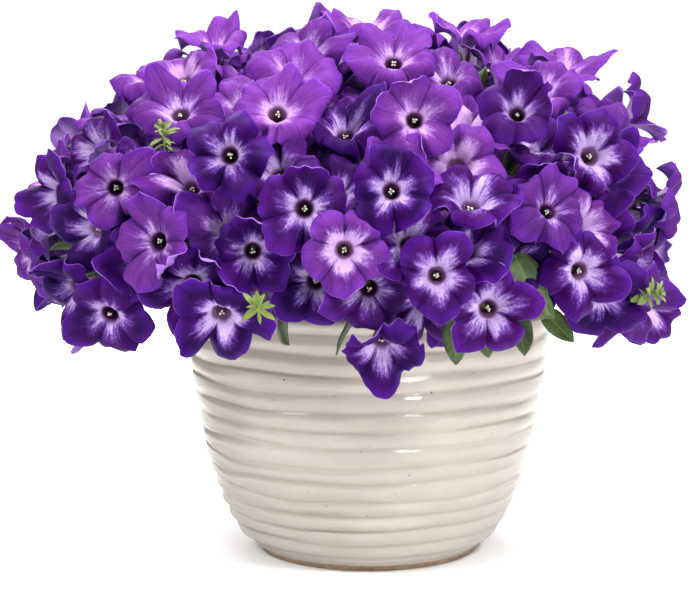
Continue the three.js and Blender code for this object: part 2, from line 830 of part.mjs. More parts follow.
// Points along a leaf and its stalk, to test what it would cross.
function leafSamples(leaf) {
  const { way, side, length, half } = bladeFrame(leaf);
  const stalk = [0.25, 0.5, 0.75].map((share) => leaf.root.clone().lerp(leaf.base, share));
  const blade = [[0, 0], [0.2, 0.7], [0.36, 1], [0.6, 0.8], [0.8, 0.5], [1, 0]];
  return [...stalk, ...blade.flatMap(([share, width]) => [0, width, -width]
    .map((across) => along(along(leaf.base, way, share * length), side, across * half)))];
}

function distanceToSegment(point, start, end) {
  const way = between(start, end);
  const share = THREE.MathUtils.clamp(between(start, point).dot(way) / way.lengthSq(), 0, 1);
  return point.distanceTo(along(start, way, share));
}

// How badly a leaf would cross the blooms, the wood of other stems and the leaves before it.
function leafCrossing(leaf, stems, leaves) {
  const samples = leafSamples(leaf);
  const middle = leaf.base.clone().lerp(leaf.tip, 0.5);
  const near = (start, end, radius) => samples
    .filter((p) => distanceToSegment(p, start, end) < radius + 1.5).length;
  let total = 0;
  for (const stem of stems) {
    for (const { blooms, node } of stem.sprays) {
      if (stem !== leaf.stem) total += near(stem.fork, node, STEM.branchRadius);
      for (const site of blooms.filter(({ throat }) => throat.distanceTo(middle) < 100)) {
        total += crossed(samples, site) + near(neckOf(site), node, BLOOM.stalkRadius);
      }
    }
  }
  for (const before of leaves.filter(({ tip }) => tip.distanceTo(leaf.tip) < 110)) {
    total += samples.filter((p) => before.samples.some((q) => q.distanceTo(p) < 4.5)).length;
  }
  return { samples, crossing: total };
}

// The places on the branches where leaves can grow, nearest to a point first.
function leafRoots(stems, point) {
  return stems.flatMap((stem) => stem.sprays.flatMap(({ node, way }) => [0.3, 0.45, 0.6, 0.72]
    .map((share) => ({ stem, way, root: stem.fork.clone().lerp(node, share) }))))
    .sort((a, b) => a.root.distanceTo(point) - b.root.distanceTo(point));
}

// A leaf grows to its tip from the branch, and with the turn, that cross the fewest others.
function growLeaf(tip, baseFrom, normals, stems, leaves) {
  let best = null;
  for (const { stem, root, way } of leafRoots(stems, baseFrom(MOUND.centre)).slice(0, 9)) {
    const base = baseFrom(root);
    const isSteep = Math.abs(between(root, base).normalize().dot(way)) > 0.88;
    if (isSteep) continue;
    for (const normal of normals) {
      const leaf = { tip, base, root, normal, stem };
      Object.assign(leaf, leafCrossing(leaf, stems, leaves));
      leaf.cost = leaf.crossing + root.distanceTo(base) / LEAF.length;
      if (best === null || leaf.cost < best.cost) best = leaf;
    }
  }
  return best;
}

// The leaves that show in the view: where their tips are, and how their blades lie.
function pickedLeaf([px, py, turn, length], stems, leaves) {
  const surface = moundPoint(px, py);
  const normal = moundNormal(surface);
  const way = new THREE.Vector3(Math.sin(degrees(turn)), 0, Math.cos(degrees(turn)));
  const tip = along(surface, normal, 2);
  const base = along(along(tip, way, -length), normal, -0.45 * length);
  return growLeaf(tip, () => base, [normal.add(facing(0, 25)).normalize()], stems, leaves);
}

// A leaf that grows up into a gap among the blooms.
function gapLeaf(point, stems, leaves) {
  const draw = draws(3000 + leaves.length);
  const outward = moundNormal(point);
  const tip = along(point, outward, -mix(2, 12, draw()));
  const length = LEAF.length * mix(0.8, 1.1, draw());
  const baseFrom = (root) => along(tip, between(tip, root).normalize(), length);
  const [across, over] = crossAxes(outward, draw() * Math.PI);
  const slanted = across.clone().add(over).normalize();
  return growLeaf(tip, baseFrom, [across, over, slanted], stems, leaves);
}

function planLeaves(sites, stems) {
  const leaves = [];
  PICKED_LEAVES.forEach((picked) => {
    const leaf = pickedLeaf(picked, stems, leaves);
    if (leaf !== null && leaf.crossing < PLACING.mostCrossing) leaves.push(leaf);
  });
  const most = leaves.length + LEAF.count;
  const gaps = spiral(700, -0.5)
    .map((point) => ({ point, room: Math.min(...sites.map((site) => site.throat.distanceTo(point))) }))
    .sort((a, b) => b.room - a.room);
  for (const { point } of gaps) {
    if (leaves.length >= most) break;
    if (leaves.some((leaf) => leaf.tip.distanceTo(point) < LEAF.spacing)) continue;
    const leaf = gapLeaf(point, stems, leaves);
    if (leaf !== null && leaf.crossing === 0) leaves.push(leaf);
  }
  return leaves;
}

// A stem with its leaves, which give way to the blooms, to other wood and to leaves before them.
function buildStems(stems, leaves, petalCuts, woodCuts) {
  const leafCuts = [];
  return stems.map((stem, index) => {
    const others = woodCuts.filter((_, k) => k !== index);
    const mine = leaves.filter((leaf) => leaf.stem === stem);
    const grown = mine.map((leaf) => cutClear(leafSolid(leaf), [...petalCuts, ...others, ...leafCuts]));
    leafCuts.push(...mine.map((leaf) => leafSolid(leaf, GAP)));
    return tidied(largestBody(joined([stemWood(stem), ...grown])));
  });
}

// ---------------------------------------------------------------- the plant in its pot

const sites = bloomSites();
const stems = planStems(sites);
const leaves = planLeaves(sites, stems);
const pieces = bloomPieces(stems);
const woodCuts = stems.map((stem) => stemWood(stem, GAP));
const petalCuts = pieces.flatMap((piece) => piece.cuts);

const numbered = (name, index) => `${name}_${String(index + 1).padStart(2, '0')}`;

const plant = new THREE.Group();
plant.add(meshOf('pot', buildPot(), COLOURS.glaze));
plant.add(meshOf('soil', buildSoil(stems), COLOURS.soil));
buildStems(stems, leaves, petalCuts, woodCuts).forEach((stem, index) => {
  plant.add(meshOf(numbered('leafy_stem', index), stem, COLOURS.leaf));
});
buildSprays(pieces, woodCuts).forEach((spray, index) => {
  plant.add(meshOf(numbered('blooms', index), spray, COLOURS.petal));
});

export default plant;
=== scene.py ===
"""A petunia in full bloom in a ribbed ceramic pot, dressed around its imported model.

The plan below repeats the model's own rule for where each stem, spray, bloom and leaf is, in
millimetres, with the origin in the middle of the pot's underside and the front facing -Y.
under_blooms and shade_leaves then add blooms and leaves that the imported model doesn't have.
The pieces are shaped in millimetres too, and make_piece turns them into metres.
"""

import math
from types import SimpleNamespace as Values

import bpy
import numpy as np
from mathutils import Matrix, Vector, noise


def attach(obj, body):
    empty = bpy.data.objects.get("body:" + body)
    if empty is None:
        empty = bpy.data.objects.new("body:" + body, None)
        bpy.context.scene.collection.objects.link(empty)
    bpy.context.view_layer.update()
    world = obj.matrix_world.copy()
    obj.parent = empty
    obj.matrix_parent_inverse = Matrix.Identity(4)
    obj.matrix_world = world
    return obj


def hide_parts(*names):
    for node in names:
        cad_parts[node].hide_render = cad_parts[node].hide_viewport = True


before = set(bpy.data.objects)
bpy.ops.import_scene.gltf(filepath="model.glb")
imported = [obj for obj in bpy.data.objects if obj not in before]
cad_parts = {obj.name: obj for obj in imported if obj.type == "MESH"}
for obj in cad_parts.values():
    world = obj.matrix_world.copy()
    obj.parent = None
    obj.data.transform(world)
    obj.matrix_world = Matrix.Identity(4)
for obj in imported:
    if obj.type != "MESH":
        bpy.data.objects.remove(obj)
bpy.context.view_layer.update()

# ------------------------------------------------------------------ driving dimensions

POT = Values(
    height=185, foot_radius=78.3, floor_thickness=12,
    rib_count=13, ribs_from=11, ribs_to=176, rib_growth=0.14,
    rib_depth=2.2, rib_wave=1.3,
    drain_radius=7, drain_circle=42, drain_count=3,
)
POT_OUTLINE = [
    (6.8, 83.3), (13.8, 92.6), (26, 100.4), (37, 105.4), (57, 112.9),
    (84, 120.2), (119, 126.4), (148, 130.2), (185, 131.5),
]
POT_INSIDE = [(12, 80), (26, 92.4), (84, 112.2), (150, 122.3), (181, 122.8)]
SOIL = Values(top=166, dome=4, side_gap=0.5, floor_gap=0.35)
MOUND = Values(
    centre=np.array([-12.0, 0.0, 228.0]), half_width=233, half_depth=228,
    rise=148, drop=135, lowest_fill=176,
)
BLOOM = Values(
    radius=31, throat_depth=8, back_depth=10.5, tube_top_radius=6.5, tube_length=27,
    stalk_radius=2.1,
)
LOBES = 5
PLACING = Values(
    spacing=47, front_spacing=51, candidates=520, lowest=-0.45, step=4.5, steps=8,
    reach=85, steepest=42, lean=0.5, most_crossing=6,
)
STEM = Values(radius=3.2, branch_radius=2.1, hole_depth=26, fork_rise=34)
STEM_CIRCLES = [
    Values(radius=66, stems=8, cap=False),
    Values(radius=24, stems=3, cap=True),
]
CAP_HEIGHT = 0.78
SPRAYS_PER_STEM = 4
NODE = Values(radius=4.2, depth=66, lowest=210)
LEAF = Values(length=40, width=17, count=32, spacing=27)
VIEW = Values(
    eye=np.array([-13.2, -1700.0, 420.0]), target=np.array([-13.2, 0.0, 183.0]),
    distance=2381, middle=(350, 296.5), width=700,
)

# Blooms that show from the front: the pixel of each throat, and which way it faces, in degrees
# to the right of the front and upward.
PICKED = [
    (345, 250, 4, 6), (303, 205, 0, 10), (227, 153, -8, 14), (112, 187, -8, 8),
    (438, 276, 4, 6), (491, 311, 8, 0), (372, 302, 4, -6), (307, 299, -6, 0),
    (220, 323, -4, -34), (585, 272, 18, 2), (539, 264, 10, 8), (595, 153, 18, 18),
    (417, 116, 8, 20), (469, 140, 6, 24), (519, 107, 4, 34), (308, 46, 0, 48),
    (178, 105, -10, 46), (278, 106, 4, 38), (544, 85, 8, 46), (393, 187, 4, 20),
    (244, 252, 4, 0), (210, 223, 8, 6), (178, 294, -12, -8), (104, 323, -20, -28),
    (435, 334, 4, -16), (382, 352, 0, -38), (24, 250, -72, -8), (48, 191, -58, 10),
    (84, 137, -48, 28), (125, 112, -24, 46), (61, 295, -48, -22), (638, 306, 42, -18),
    (673, 201, 72, 0), (671, 245, 70, -10), (641, 112, 74, 22), (636, 249, 42, 8),
    (649, 172, 50, 16), (601, 98, 24, 52), (565, 60, 40, 68), (512, 40, 30, 70),
    (467, 30, 20, 78), (420, 26, 10, 80), (366, 26, 10, 84), (260, 48, -6, 62),
    (214, 38, -12, 74), (180, 70, -24, 60), (148, 76, -36, 52), (215, 63, -14, 56),
    (294, 66, 0, 64), (394, 53, 2, 48), (452, 59, 4, 58), (424, 62, 0, 74),
    (345, 96, 4, 58), (335, 161, 14, 30), (377, 135, -12, 46), (477, 191, 6, 56),
    (482, 244, 4, 46), (398, 232, 4, 24), (600, 222, 22, 18), (554, 204, 16, 42),
    (570, 183, 16, 40), (520, 172, 20, 40), (177, 169, -14, 46), (112, 224, -10, 0),
    (70, 226, -42, 4), (91, 274, -26, -12), (436, 98, -8, 52), (479, 93, 8, 50),
    (614, 128, 28, 50), (576, 112, 22, 56), (229, 78, 0, 72), (323, 336, -4, -30),
    (150, 240, -20, 6), (152, 136, -22, 44), (255, 196, 0, 24), (272, 150, 0, 40),
    (430, 160, 4, 34), (525, 217, 10, 30), (610, 300, 26, -14),
]

# Leaf tips and shoots that show from the front: the pixel of the tip, the way the blade points
# in the picture, in degrees from straight up, and its length.
PICKED_LEAVES = [
    (262, 299, 20, 36), (252, 306, -70, 30), (272, 312, 80, 28), (166, 128, -30, 30),
    (170, 136, 40, 26), (132, 70, 0, 30), (548, 326, 160, 40), (560, 322, 130, 36),
    (588, 332, 190, 34), (612, 328, 165, 34), (642, 306, 120, 34), (632, 282, 20, 30),
    (457, 370, 180, 28), (490, 362, 170, 26), (308, 118, 20, 28), (407, 83, 30, 26),
    (158, 195, -10, 30),
]

# ------------------------------------------------------------------ draws and directions

UP = np.array([0.0, 0.0, 1.0])
FULL_TURN = 2 * math.pi
WORD = 0xFFFFFFFF


def mix(a, b, t):
    return a + (b - a) * t


def unit(vector):
    return vector / math.sqrt(vector @ vector)


def distance(a, b):
    return math.sqrt((b - a) @ (b - a))


def middle_of(points):
    return sum(points) / len(points)


def draws(seed):
    """Repeatable draws between 0 and 1, from one whole number."""
    state = ((seed + 1) * 2654435761 & WORD) ^ 0x9E3779B9

    def draw():
        nonlocal state
        state = (state * 1664525 + 1013904223) & WORD
        return (state >> 8) / 16777216

    return draw


def cross_axes(direction, turn=0.0):
    """Two directions square to a given one, turned by an angle about it."""
    helper = UP if abs(direction[2]) < 0.9 else np.array([1.0, 0.0, 0.0])
    side = unit(np.cross(helper, direction))
    over = np.cross(direction, side)
    across = side * math.cos(turn) + over * math.sin(turn)
    return across, np.cross(direction, across)


# ------------------------------------------------------------------ the mound's surface


def mound_offsets(points):
    """Offsets from the mound's centre, and the mound's half sizes on each one's side."""
    d = points - MOUND.centre
    rise = np.where(d[..., 2] > 0, MOUND.rise, MOUND.drop)
    wide = np.full_like(rise, MOUND.half_width, dtype=float)
    deep = np.full_like(rise, MOUND.half_depth, dtype=float)
    return d, np.stack([wide, deep, rise], axis=-1)


def mound_normal(point):
    d, size = mound_offsets(point)
    return unit(d / size / size)


def mound_share(points):
    """How far out points lie: less than 1 inside the mound, and 1 on its surface."""
    d, size = mound_offsets(points)
    return np.sqrt(((d / size) ** 2).sum(axis=-1))


def mound_point(px, py):
    """The point of the mound that a pixel shows, or the nearest one at its edge."""
    forward = unit(VIEW.target - VIEW.eye)
    right = unit(np.cross(forward, UP))
    above = np.cross(right, forward)
    ray = unit(forward * VIEW.distance + right * (px - VIEW.middle[0])
               + above * (VIEW.middle[1] - py))
    first = distance(VIEW.eye, VIEW.target) - 300
    walk = VIEW.eye + ray * (first + np.arange(500))[:, None]
    shares = mound_share(walk)
    hits = np.nonzero(shares <= 1)[0]
    return walk[hits[0] if len(hits) else np.argmin(shares)]


def facing(yaw, pitch):
    yaw, pitch = math.radians(yaw), math.radians(pitch)
    level = math.cos(pitch)
    return np.array([math.sin(yaw) * level, -math.cos(yaw) * level, math.sin(pitch)])


def eased(direction, normal):
    """The given direction, brought to within the steepest turn from the mound's own."""
    cosine = direction @ normal / math.sqrt((direction @ direction) * (normal @ normal))
    turn = math.acos(min(1.0, max(-1.0, cosine)))
    share = min(1.0, math.radians(PLACING.steepest) / max(turn, 1e-12))
    return unit(mix(normal, direction, share))


def spiral(count, lowest):
    """Points spread evenly over the mound along a spiral, down to a lowest level."""
    turn = math.pi * (3 - math.sqrt(5))
    points = []
    for i in range(count):
        t = 1 - ((i + 0.5) * (1 - lowest)) / count
        ring = math.sqrt(1 - t * t)
        rise = MOUND.rise if t > 0 else MOUND.drop
        points.append(MOUND.centre + np.array([
            MOUND.half_width * ring * math.cos(turn * i),
            MOUND.half_depth * ring * math.sin(turn * i),
            rise * t,
        ]))
    return points


# ------------------------------------------------------------------ where the blooms sit


def bloom_point(site, r, angle, z):
    """The place at a distance from a bloom's axis, an angle about it and a height."""
    return (site.throat + np.multiply.outer(z, site.face)
            + np.multiply.outer(r * np.cos(angle), site.across)
            + np.multiply.outer(r * np.sin(angle), site.over))


def neck_of(site):
    return site.throat - site.face * BLOOM.tube_length


def limb_faces(site, r):
    """The heights of a bloom's two faces over its throat, at distances from its axis."""
    radius = BLOOM.radius * site.size
    inner = BLOOM.tube_top_radius
    top = mix(-BLOOM.throat_depth, site.cup, r / radius)
    bottom = mix(-BLOOM.back_depth, site.cup, np.maximum(0, r - inner) / (radius - inner))
    return top, bottom


def limb_samples(site):
    """Points all over a bloom, its tube among them, to test what it would cross."""
    site.across, site.over = cross_axes(site.face, site.roll)
    samples = [site.throat + site.face * z
               for z in (-BLOOM.throat_depth, -0.6 * BLOOM.tube_length)]
    for share, count in ((1, 20), (0.72, 10), (0.4, 5)):
        r = BLOOM.radius * site.size * share
        angles = FULL_TURN * np.arange(count) / count
        top, _ = limb_faces(site, r)
        samples.extend(bloom_point(site, np.full(count, r), angles, np.full(count, top)))
    return np.array(samples)


def crossed(samples, bloom):
    """How many points lie in a bloom, or on the far side of it from the others."""
    skin = 0.8
    d = samples - bloom.throat
    z = d @ bloom.face
    r = np.sqrt(np.maximum(0, (d * d).sum(axis=1) - z * z))
    near = r <= BLOOM.radius * bloom.size * 0.98
    z, r = z[near], r[near]
    top, bottom = limb_faces(bloom, r)
    in_tube = (z < bottom) & (z > -BLOOM.tube_length) & (r < BLOOM.tube_top_radius)
    inside = in_tube | ((z > bottom - skin) & (z < top + skin))
    above = ~inside & (z > top)
    below = ~inside & ~above
    return int(inside.sum()) + min(int(above.sum()), int(below.sum()))


SETTLING = sorted(
    ((step, keep) for step in range(PLACING.steps) for keep in (1, 0.5, 0.1)),
    key=lambda way: way[0] + 5 * (1 - way[1]),
)


def settle(site, placed):
    """A bloom sits as far out, and as near to its wish, as its neighbours allow."""
    near = [other for other in placed if distance(other.surface, site.surface) < PLACING.reach]
    best = None
    for step, keep in SETTLING:
        trial = Values(**vars(site))
        trial.throat = site.surface - site.normal * (step * PLACING.step)
        trial.face = unit(mix(site.normal, site.wish, keep))
        trial.samples = limb_samples(trial)
        trial.crossing = sum(crossed(trial.samples, other) + crossed(other.samples, trial)
                             for other in near)
        if best is None or trial.crossing < best.crossing:
            best = trial
        if best.crossing == 0:
            break
    return best


def bloom_sites():
    """The picked blooms first, then those that fill in round them, on the sides and behind."""
    sites = []

    def add(surface, wish):
        draw = draws(len(sites))
        normal = mound_normal(surface)
        site = Values(surface=surface, normal=normal, wish=eased(wish, normal))
        site.roll = draw() * (FULL_TURN / LOBES)
        site.size = mix(0.9, 1.04, draw())
        site.cup = mix(-3, 4, draw())
        settled = settle(site, sites)
        if settled.crossing <= PLACING.most_crossing:
            sites.append(settled)

    for px, py, yaw, pitch in PICKED:
        add(mound_point(px, py), facing(yaw, pitch))
    for surface in spiral(PLACING.candidates, PLACING.lowest):
        room = PLACING.front_spacing if surface[1] < -40 else PLACING.spacing
        taken = any(distance(site.surface, surface) < room for site in sites)
        if taken or surface[2] < MOUND.lowest_fill:
            continue
        draw = draws(900 + len(sites))
        lean = np.array([draw() - 0.5, draw() - 0.5, draw() - 0.2])
        add(surface, unit(mound_normal(surface) + lean * PLACING.lean))
    return sites


# ------------------------------------------------------------------ stems and sprays


def stem_groups(sites):
    """The blooms that each stem carries: an even share of the sides, or of the cap."""
    groups = []
    for circle in STEM_CIRCLES:
        members = [site for site in sites
                   if (site.surface[2] - MOUND.centre[2] >= CAP_HEIGHT * MOUND.rise) == circle.cap]
        members.sort(key=lambda site: math.atan2(site.surface[1] - MOUND.centre[1],
                                                 site.surface[0] - MOUND.centre[0]))
        cuts = [math.floor(k * len(members) / circle.stems + 0.5)
                for k in range(circle.stems + 1)]
        groups.extend((circle.radius, members[a:b]) for a, b in zip(cuts, cuts[1:]))
    return groups


def plan_spray(blooms):
    centre = middle_of([site.throat for site in blooms])
    node = centre - mound_normal(centre) * NODE.depth
    node[2] = max(node[2], NODE.lowest)
    return Values(blooms=blooms, node=node)


def plan_stems(sites):
    stems = []
    for circle, members in stem_groups(sites):
        middle = middle_of([site.surface for site in members])
        side = math.atan2(middle[1], middle[0])
        foot = np.array([circle * math.cos(side), circle * math.sin(side),
                         SOIL.top - STEM.hole_depth])
        share = math.ceil(len(members) / SPRAYS_PER_STEM)
        ordered = sorted(members, key=lambda site: site.surface[2])
        sprays = [plan_spray(ordered[i:i + share]) for i in range(0, len(ordered), share)]
        fork = mix(foot, middle_of([spray.node for spray in sprays]), 0.45)
        fork[2] = max(fork[2], SOIL.top + STEM.fork_rise)
        for spray in sprays:
            spray.way = unit(spray.node - fork)
        stems.append(Values(foot=foot, fork=fork, sprays=sprays))
    return stems


# ------------------------------------------------------------------ leaves


def blade_frame(leaf):
    """The directions, length and half width of a leaf's blade."""
    way = leaf.tip - leaf.base
    length = math.sqrt(way @ way)
    way = way / length
    side = unit(np.cross(way, leaf.normal))
    return way, side, np.cross(side, way), length, length * LEAF.width / LEAF.length / 2


def leaf_samples(leaf):
    """Points along a leaf and its stalk, to test what it would cross."""
    way, side, _, length, half = blade_frame(leaf)
    samples = [mix(leaf.root, leaf.base, share) for share in (0.25, 0.5, 0.75)]
    for share, width in ((0, 0), (0.2, 0.7), (0.36, 1), (0.6, 0.8), (0.8, 0.5), (1, 0)):
        axis = leaf.base + way * (share * length)
        samples.extend(axis + side * (across * half) for across in (0, width, -width))
    return np.array(samples)


def near_segment(samples, start, end, radius):
    """How many points come within a radius, and a little more, of a straight line."""
    way = end - start
    share = np.clip((samples - start) @ way / (way @ way), 0, 1)
    d = samples - (start + share[:, None] * way)
    return int((np.sqrt((d * d).sum(axis=1)) < radius + 1.5).sum())


def leaf_crossing(leaf, stems, leaves):
    """How badly a leaf would cross blooms, other stems' wood and the leaves before it."""
    samples = leaf.samples
    middle = mix(leaf.base, leaf.tip, 0.5)
    total = 0
    for stem in stems:
        for spray in stem.sprays:
            if stem is not leaf.stem:
                total += near_segment(samples, stem.fork, spray.node, STEM.branch_radius)
            for site in spray.blooms:
                if distance(site.throat, middle) < 100:
                    total += crossed(samples, site) + near_segment(
                        samples, neck_of(site), spray.node, BLOOM.stalk_radius)
    for before in leaves:
        if distance(before.tip, leaf.tip) < 110:
            d = samples[:, None] - before.samples
            total += int(((d * d).sum(axis=2) < 4.5 ** 2).any(axis=1).sum())
    return total


def grow_leaf(tip, base_from, normals, stems, leaves):
    """A leaf grows from the branch, and with the turn, that give few crossings and a short stalk."""
    roots = [(mix(stem.fork, spray.node, share), stem, spray.way)
             for stem in stems for spray in stem.sprays for share in (0.3, 0.45, 0.6, 0.72)]
    reach = base_from(MOUND.centre)
    roots.sort(key=lambda option: distance(option[0], reach))
    best = None
    for root, stem, way in roots[:9]:
        base = base_from(root)
        if abs(unit(base - root) @ way) > 0.88:
            continue
        for normal in normals:
            leaf = Values(tip=tip, base=base, root=root, normal=normal, stem=stem)
            leaf.samples = leaf_samples(leaf)
            leaf.crossing = leaf_crossing(leaf, stems, leaves)
            leaf.cost = leaf.crossing + distance(root, base) / LEAF.length
            if best is None or leaf.cost < best.cost:
                best = leaf
    return best


def picked_leaf(picked, stems, leaves):
    px, py, turn, length = picked
    surface = mound_point(px, py)
    normal = mound_normal(surface)
    turn = math.radians(turn)
    way = np.array([math.sin(turn), 0.0, math.cos(turn)])
    tip = surface + normal * 2
    base = tip - way * length - normal * (0.45 * length)
    return grow_leaf(tip, lambda _: base, [unit(normal + facing(0, 25))], stems, leaves)


def gap_leaf(point, stems, leaves):
    draw = draws(3000 + len(leaves))
    outward = mound_normal(point)
    tip = point - outward * mix(2, 12, draw())
    length = LEAF.length * mix(0.8, 1.1, draw())
    across, over = cross_axes(outward, draw() * math.pi)
    normals = [across, over, unit(across + over)]
    return grow_leaf(tip, lambda root: tip + unit(root - tip) * length, normals, stems, leaves)


def plan_leaves(sites, stems):
    leaves = []
    for picked in PICKED_LEAVES:
        leaf = picked_leaf(picked, stems, leaves)
        if leaf is not None and leaf.crossing < PLACING.most_crossing:
            leaves.append(leaf)
    most = len(leaves) + LEAF.count
    throats = np.array([site.throat for site in sites])
    gaps = sorted(spiral(700, -0.5),
                  key=lambda point: -np.sqrt(((throats - point) ** 2).sum(axis=1)).min())
    for point in gaps:
        if len(leaves) >= most:
            break
        if any(distance(leaf.tip, point) < LEAF.spacing for leaf in leaves):
            continue
        leaf = gap_leaf(point, stems, leaves)
        if leaf is not None and leaf.crossing == 0:
            leaves.append(leaf)
    return leaves


# ------------------------------------------------------------------ shapes

MM = 0.001


class Shape:
    """Corners, faces and their materials for one mesh, with two named values at each corner."""

    def __init__(self):
        self.points = []
        self.faces = []
        self.slots = []
        self.places = []
        self.rays = []
        self.count = 0

    def add(self, points, faces, slot=0, place=(0, 0, 0), ray=(0, 0, 0)):
        points = np.asarray(points).reshape(-1, 3)
        self.faces.extend([self.count + i for i in face] for face in faces)
        self.slots.extend([slot] * len(faces))
        self.points.append(points)
        self.places.append(np.broadcast_to(place, points.shape))
        self.rays.append(np.broadcast_to(ray, points.shape))
        self.count += len(points)


def add_object(name, data):
    made = bpy.data.objects.new(name, data)
    bpy.context.scene.collection.objects.link(made)
    return made


def mesh_of(name, shape):
    mesh = bpy.data.meshes.new(name)
    mesh.from_pydata((np.concatenate(shape.points) * MM).tolist(), [], shape.faces)
    return mesh


def make_piece(name, shape, materials, slot, *nodes):
    """A finished piece in metres, which rides on the part and may replace some of its nodes."""
    mesh = mesh_of(name, shape)
    for material in materials:
        mesh.materials.append(material)
    mesh.polygons.foreach_set("material_index", shape.slots)
    for key, rows in (("place", shape.places), ("ray", shape.rays)):
        attribute = mesh.attributes.new(key, "FLOAT_VECTOR", "POINT")
        attribute.data.foreach_set("vector", np.concatenate(rows).astype(np.float32).ravel())
    mesh.shade_smooth()
    piece = add_object(name, mesh)
    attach(piece, "root")
    if nodes:
        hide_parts(*nodes)
    return piece


def grid_faces(rows, columns):
    """Faces over rows of corners that close on themselves, seen from the side on which the
    rows lead away from the axis, or from inside a tube."""
    faces = []
    for row in range(rows - 1):
        for k in range(columns):
            a, b = row * columns + k, row * columns + (k + 1) % columns
            faces.append((a, a + columns, b + columns, b))
    return faces


def closed_faces(rows, columns):
    """The same faces, with one more over the first row and one over the last."""
    last = (rows - 1) * columns
    ends = [tuple(range(columns)), tuple(range(last, last + columns))[::-1]]
    return grid_faces(rows, columns) + ends


def outward(faces):
    return [face[::-1] for face in faces]


def tube(shape, path, radii, sides, slot=0, place=(0, 0, 0)):
    """A closed round stick through a list of points."""
    path = [np.asarray(point) for point in path]
    across, _ = cross_axes(unit(path[1] - path[0]))
    angles = FULL_TURN * np.arange(sides) / sides
    rings = []
    for i, (point, radius) in enumerate(zip(path, radii)):
        way = unit(path[min(i + 1, len(path) - 1)] - path[max(i - 1, 0)])
        across = unit(across - way * (across @ way))
        over = np.cross(way, across)
        rings.append(point + radius * (np.outer(np.cos(angles), across)
                                       + np.outer(np.sin(angles), over)))
    faces = outward(closed_faces(len(path), sides))
    shape.add(np.concatenate(rings), faces, slot, place)


def bent_path(start, start_way, end, end_way, steps):
    """Points on a smooth curve that leaves one point and reaches another along given ways."""
    t = np.linspace(0, 1, steps)[:, None]
    hold = distance(start, end) / 3
    a, b = start + start_way * hold, end - end_way * hold
    return start * (1 - t) ** 3 + a * 3 * t * (1 - t) ** 2 + b * 3 * t ** 2 * (1 - t) + end * t ** 3


def hairs(shape, spots, slot=0, place=(0.1, 0.9, 0.9)):
    """Short soft hairs: a thin spike for each spot, which gives its root, way and length."""
    for root, way, length in spots:
        across, over = cross_axes(way)
        foot = [root + 0.07 * (across * math.cos(turn) + over * math.sin(turn))
                for turn in (0, FULL_TURN / 3, 2 * FULL_TURN / 3)]
        shape.add([*foot, root + way * length], [(0, 1, 3), (1, 2, 3), (2, 0, 3), (2, 1, 0)],
                  slot, place)


def hair_spots(path, radius, count, draw):
    """Where hairs stand all round a thin stalk along a path."""
    spots = []
    for _ in range(count):
        t = draw() * (len(path) - 1.001)
        i = int(t)
        across, _ = cross_axes(unit(path[i + 1] - path[i]), draw() * FULL_TURN)
        spots.append((mix(path[i], path[i + 1], t - i) + across * (0.9 * radius), across,
                      mix(0.8, 1.5, draw())))
    return spots


# The corners of a blade's ring, from one edge over the top and back underneath: the share of
# the half width, and which face.
BLADE_RING = [(x / 3, 1) for x in range(-2, 3)]
BLADE_RING = [(-1, 0), *BLADE_RING, (1, 0), *((x, -1) for x, _ in reversed(BLADE_RING))]


def blade(shape, root, way, over, length, width, form, slot=0, tone=0.0):
    """A pointed blade, closed all round. Its form says how it widens, folds, arches and waves."""
    side = np.cross(way, over)
    across = np.array([x for x, _ in BLADE_RING])
    face = np.array([f for _, f in BLADE_RING])
    rows, places = [], []
    for i in range(form.rows + 1):
        t = i / form.rows
        half = width / 2 * max(0.06, form.profile(t))
        lift = form.arch * length * t * t + form.wave * math.sin(form.waves * t) * np.abs(across)
        rise = form.fold * np.abs(across) * half + face * form.thickness / 2
        axis = root + way * (length * t * (1 - 0.3 * abs(form.arch) * t))
        rows.append(axis + np.outer(across * half, side) + np.outer(rise + lift, over))
        places.append(np.stack([np.full_like(across, t), across, np.full_like(across, tone)], 1))
    faces = closed_faces(len(rows), len(BLADE_RING))
    shape.add(np.concatenate(rows), faces, slot, np.concatenate(places))


# ------------------------------------------------------------------ materials


def srgb(red, green, blue):
    """A colour as it looks on the screen, turned into the light that Blender counts in."""
    def linear(value):
        value /= 255
        return value / 12.92 if value <= 0.04045 else ((value + 0.055) / 1.055) ** 2.4

    return (*(linear(value) for value in (red, green, blue)), 1.0)


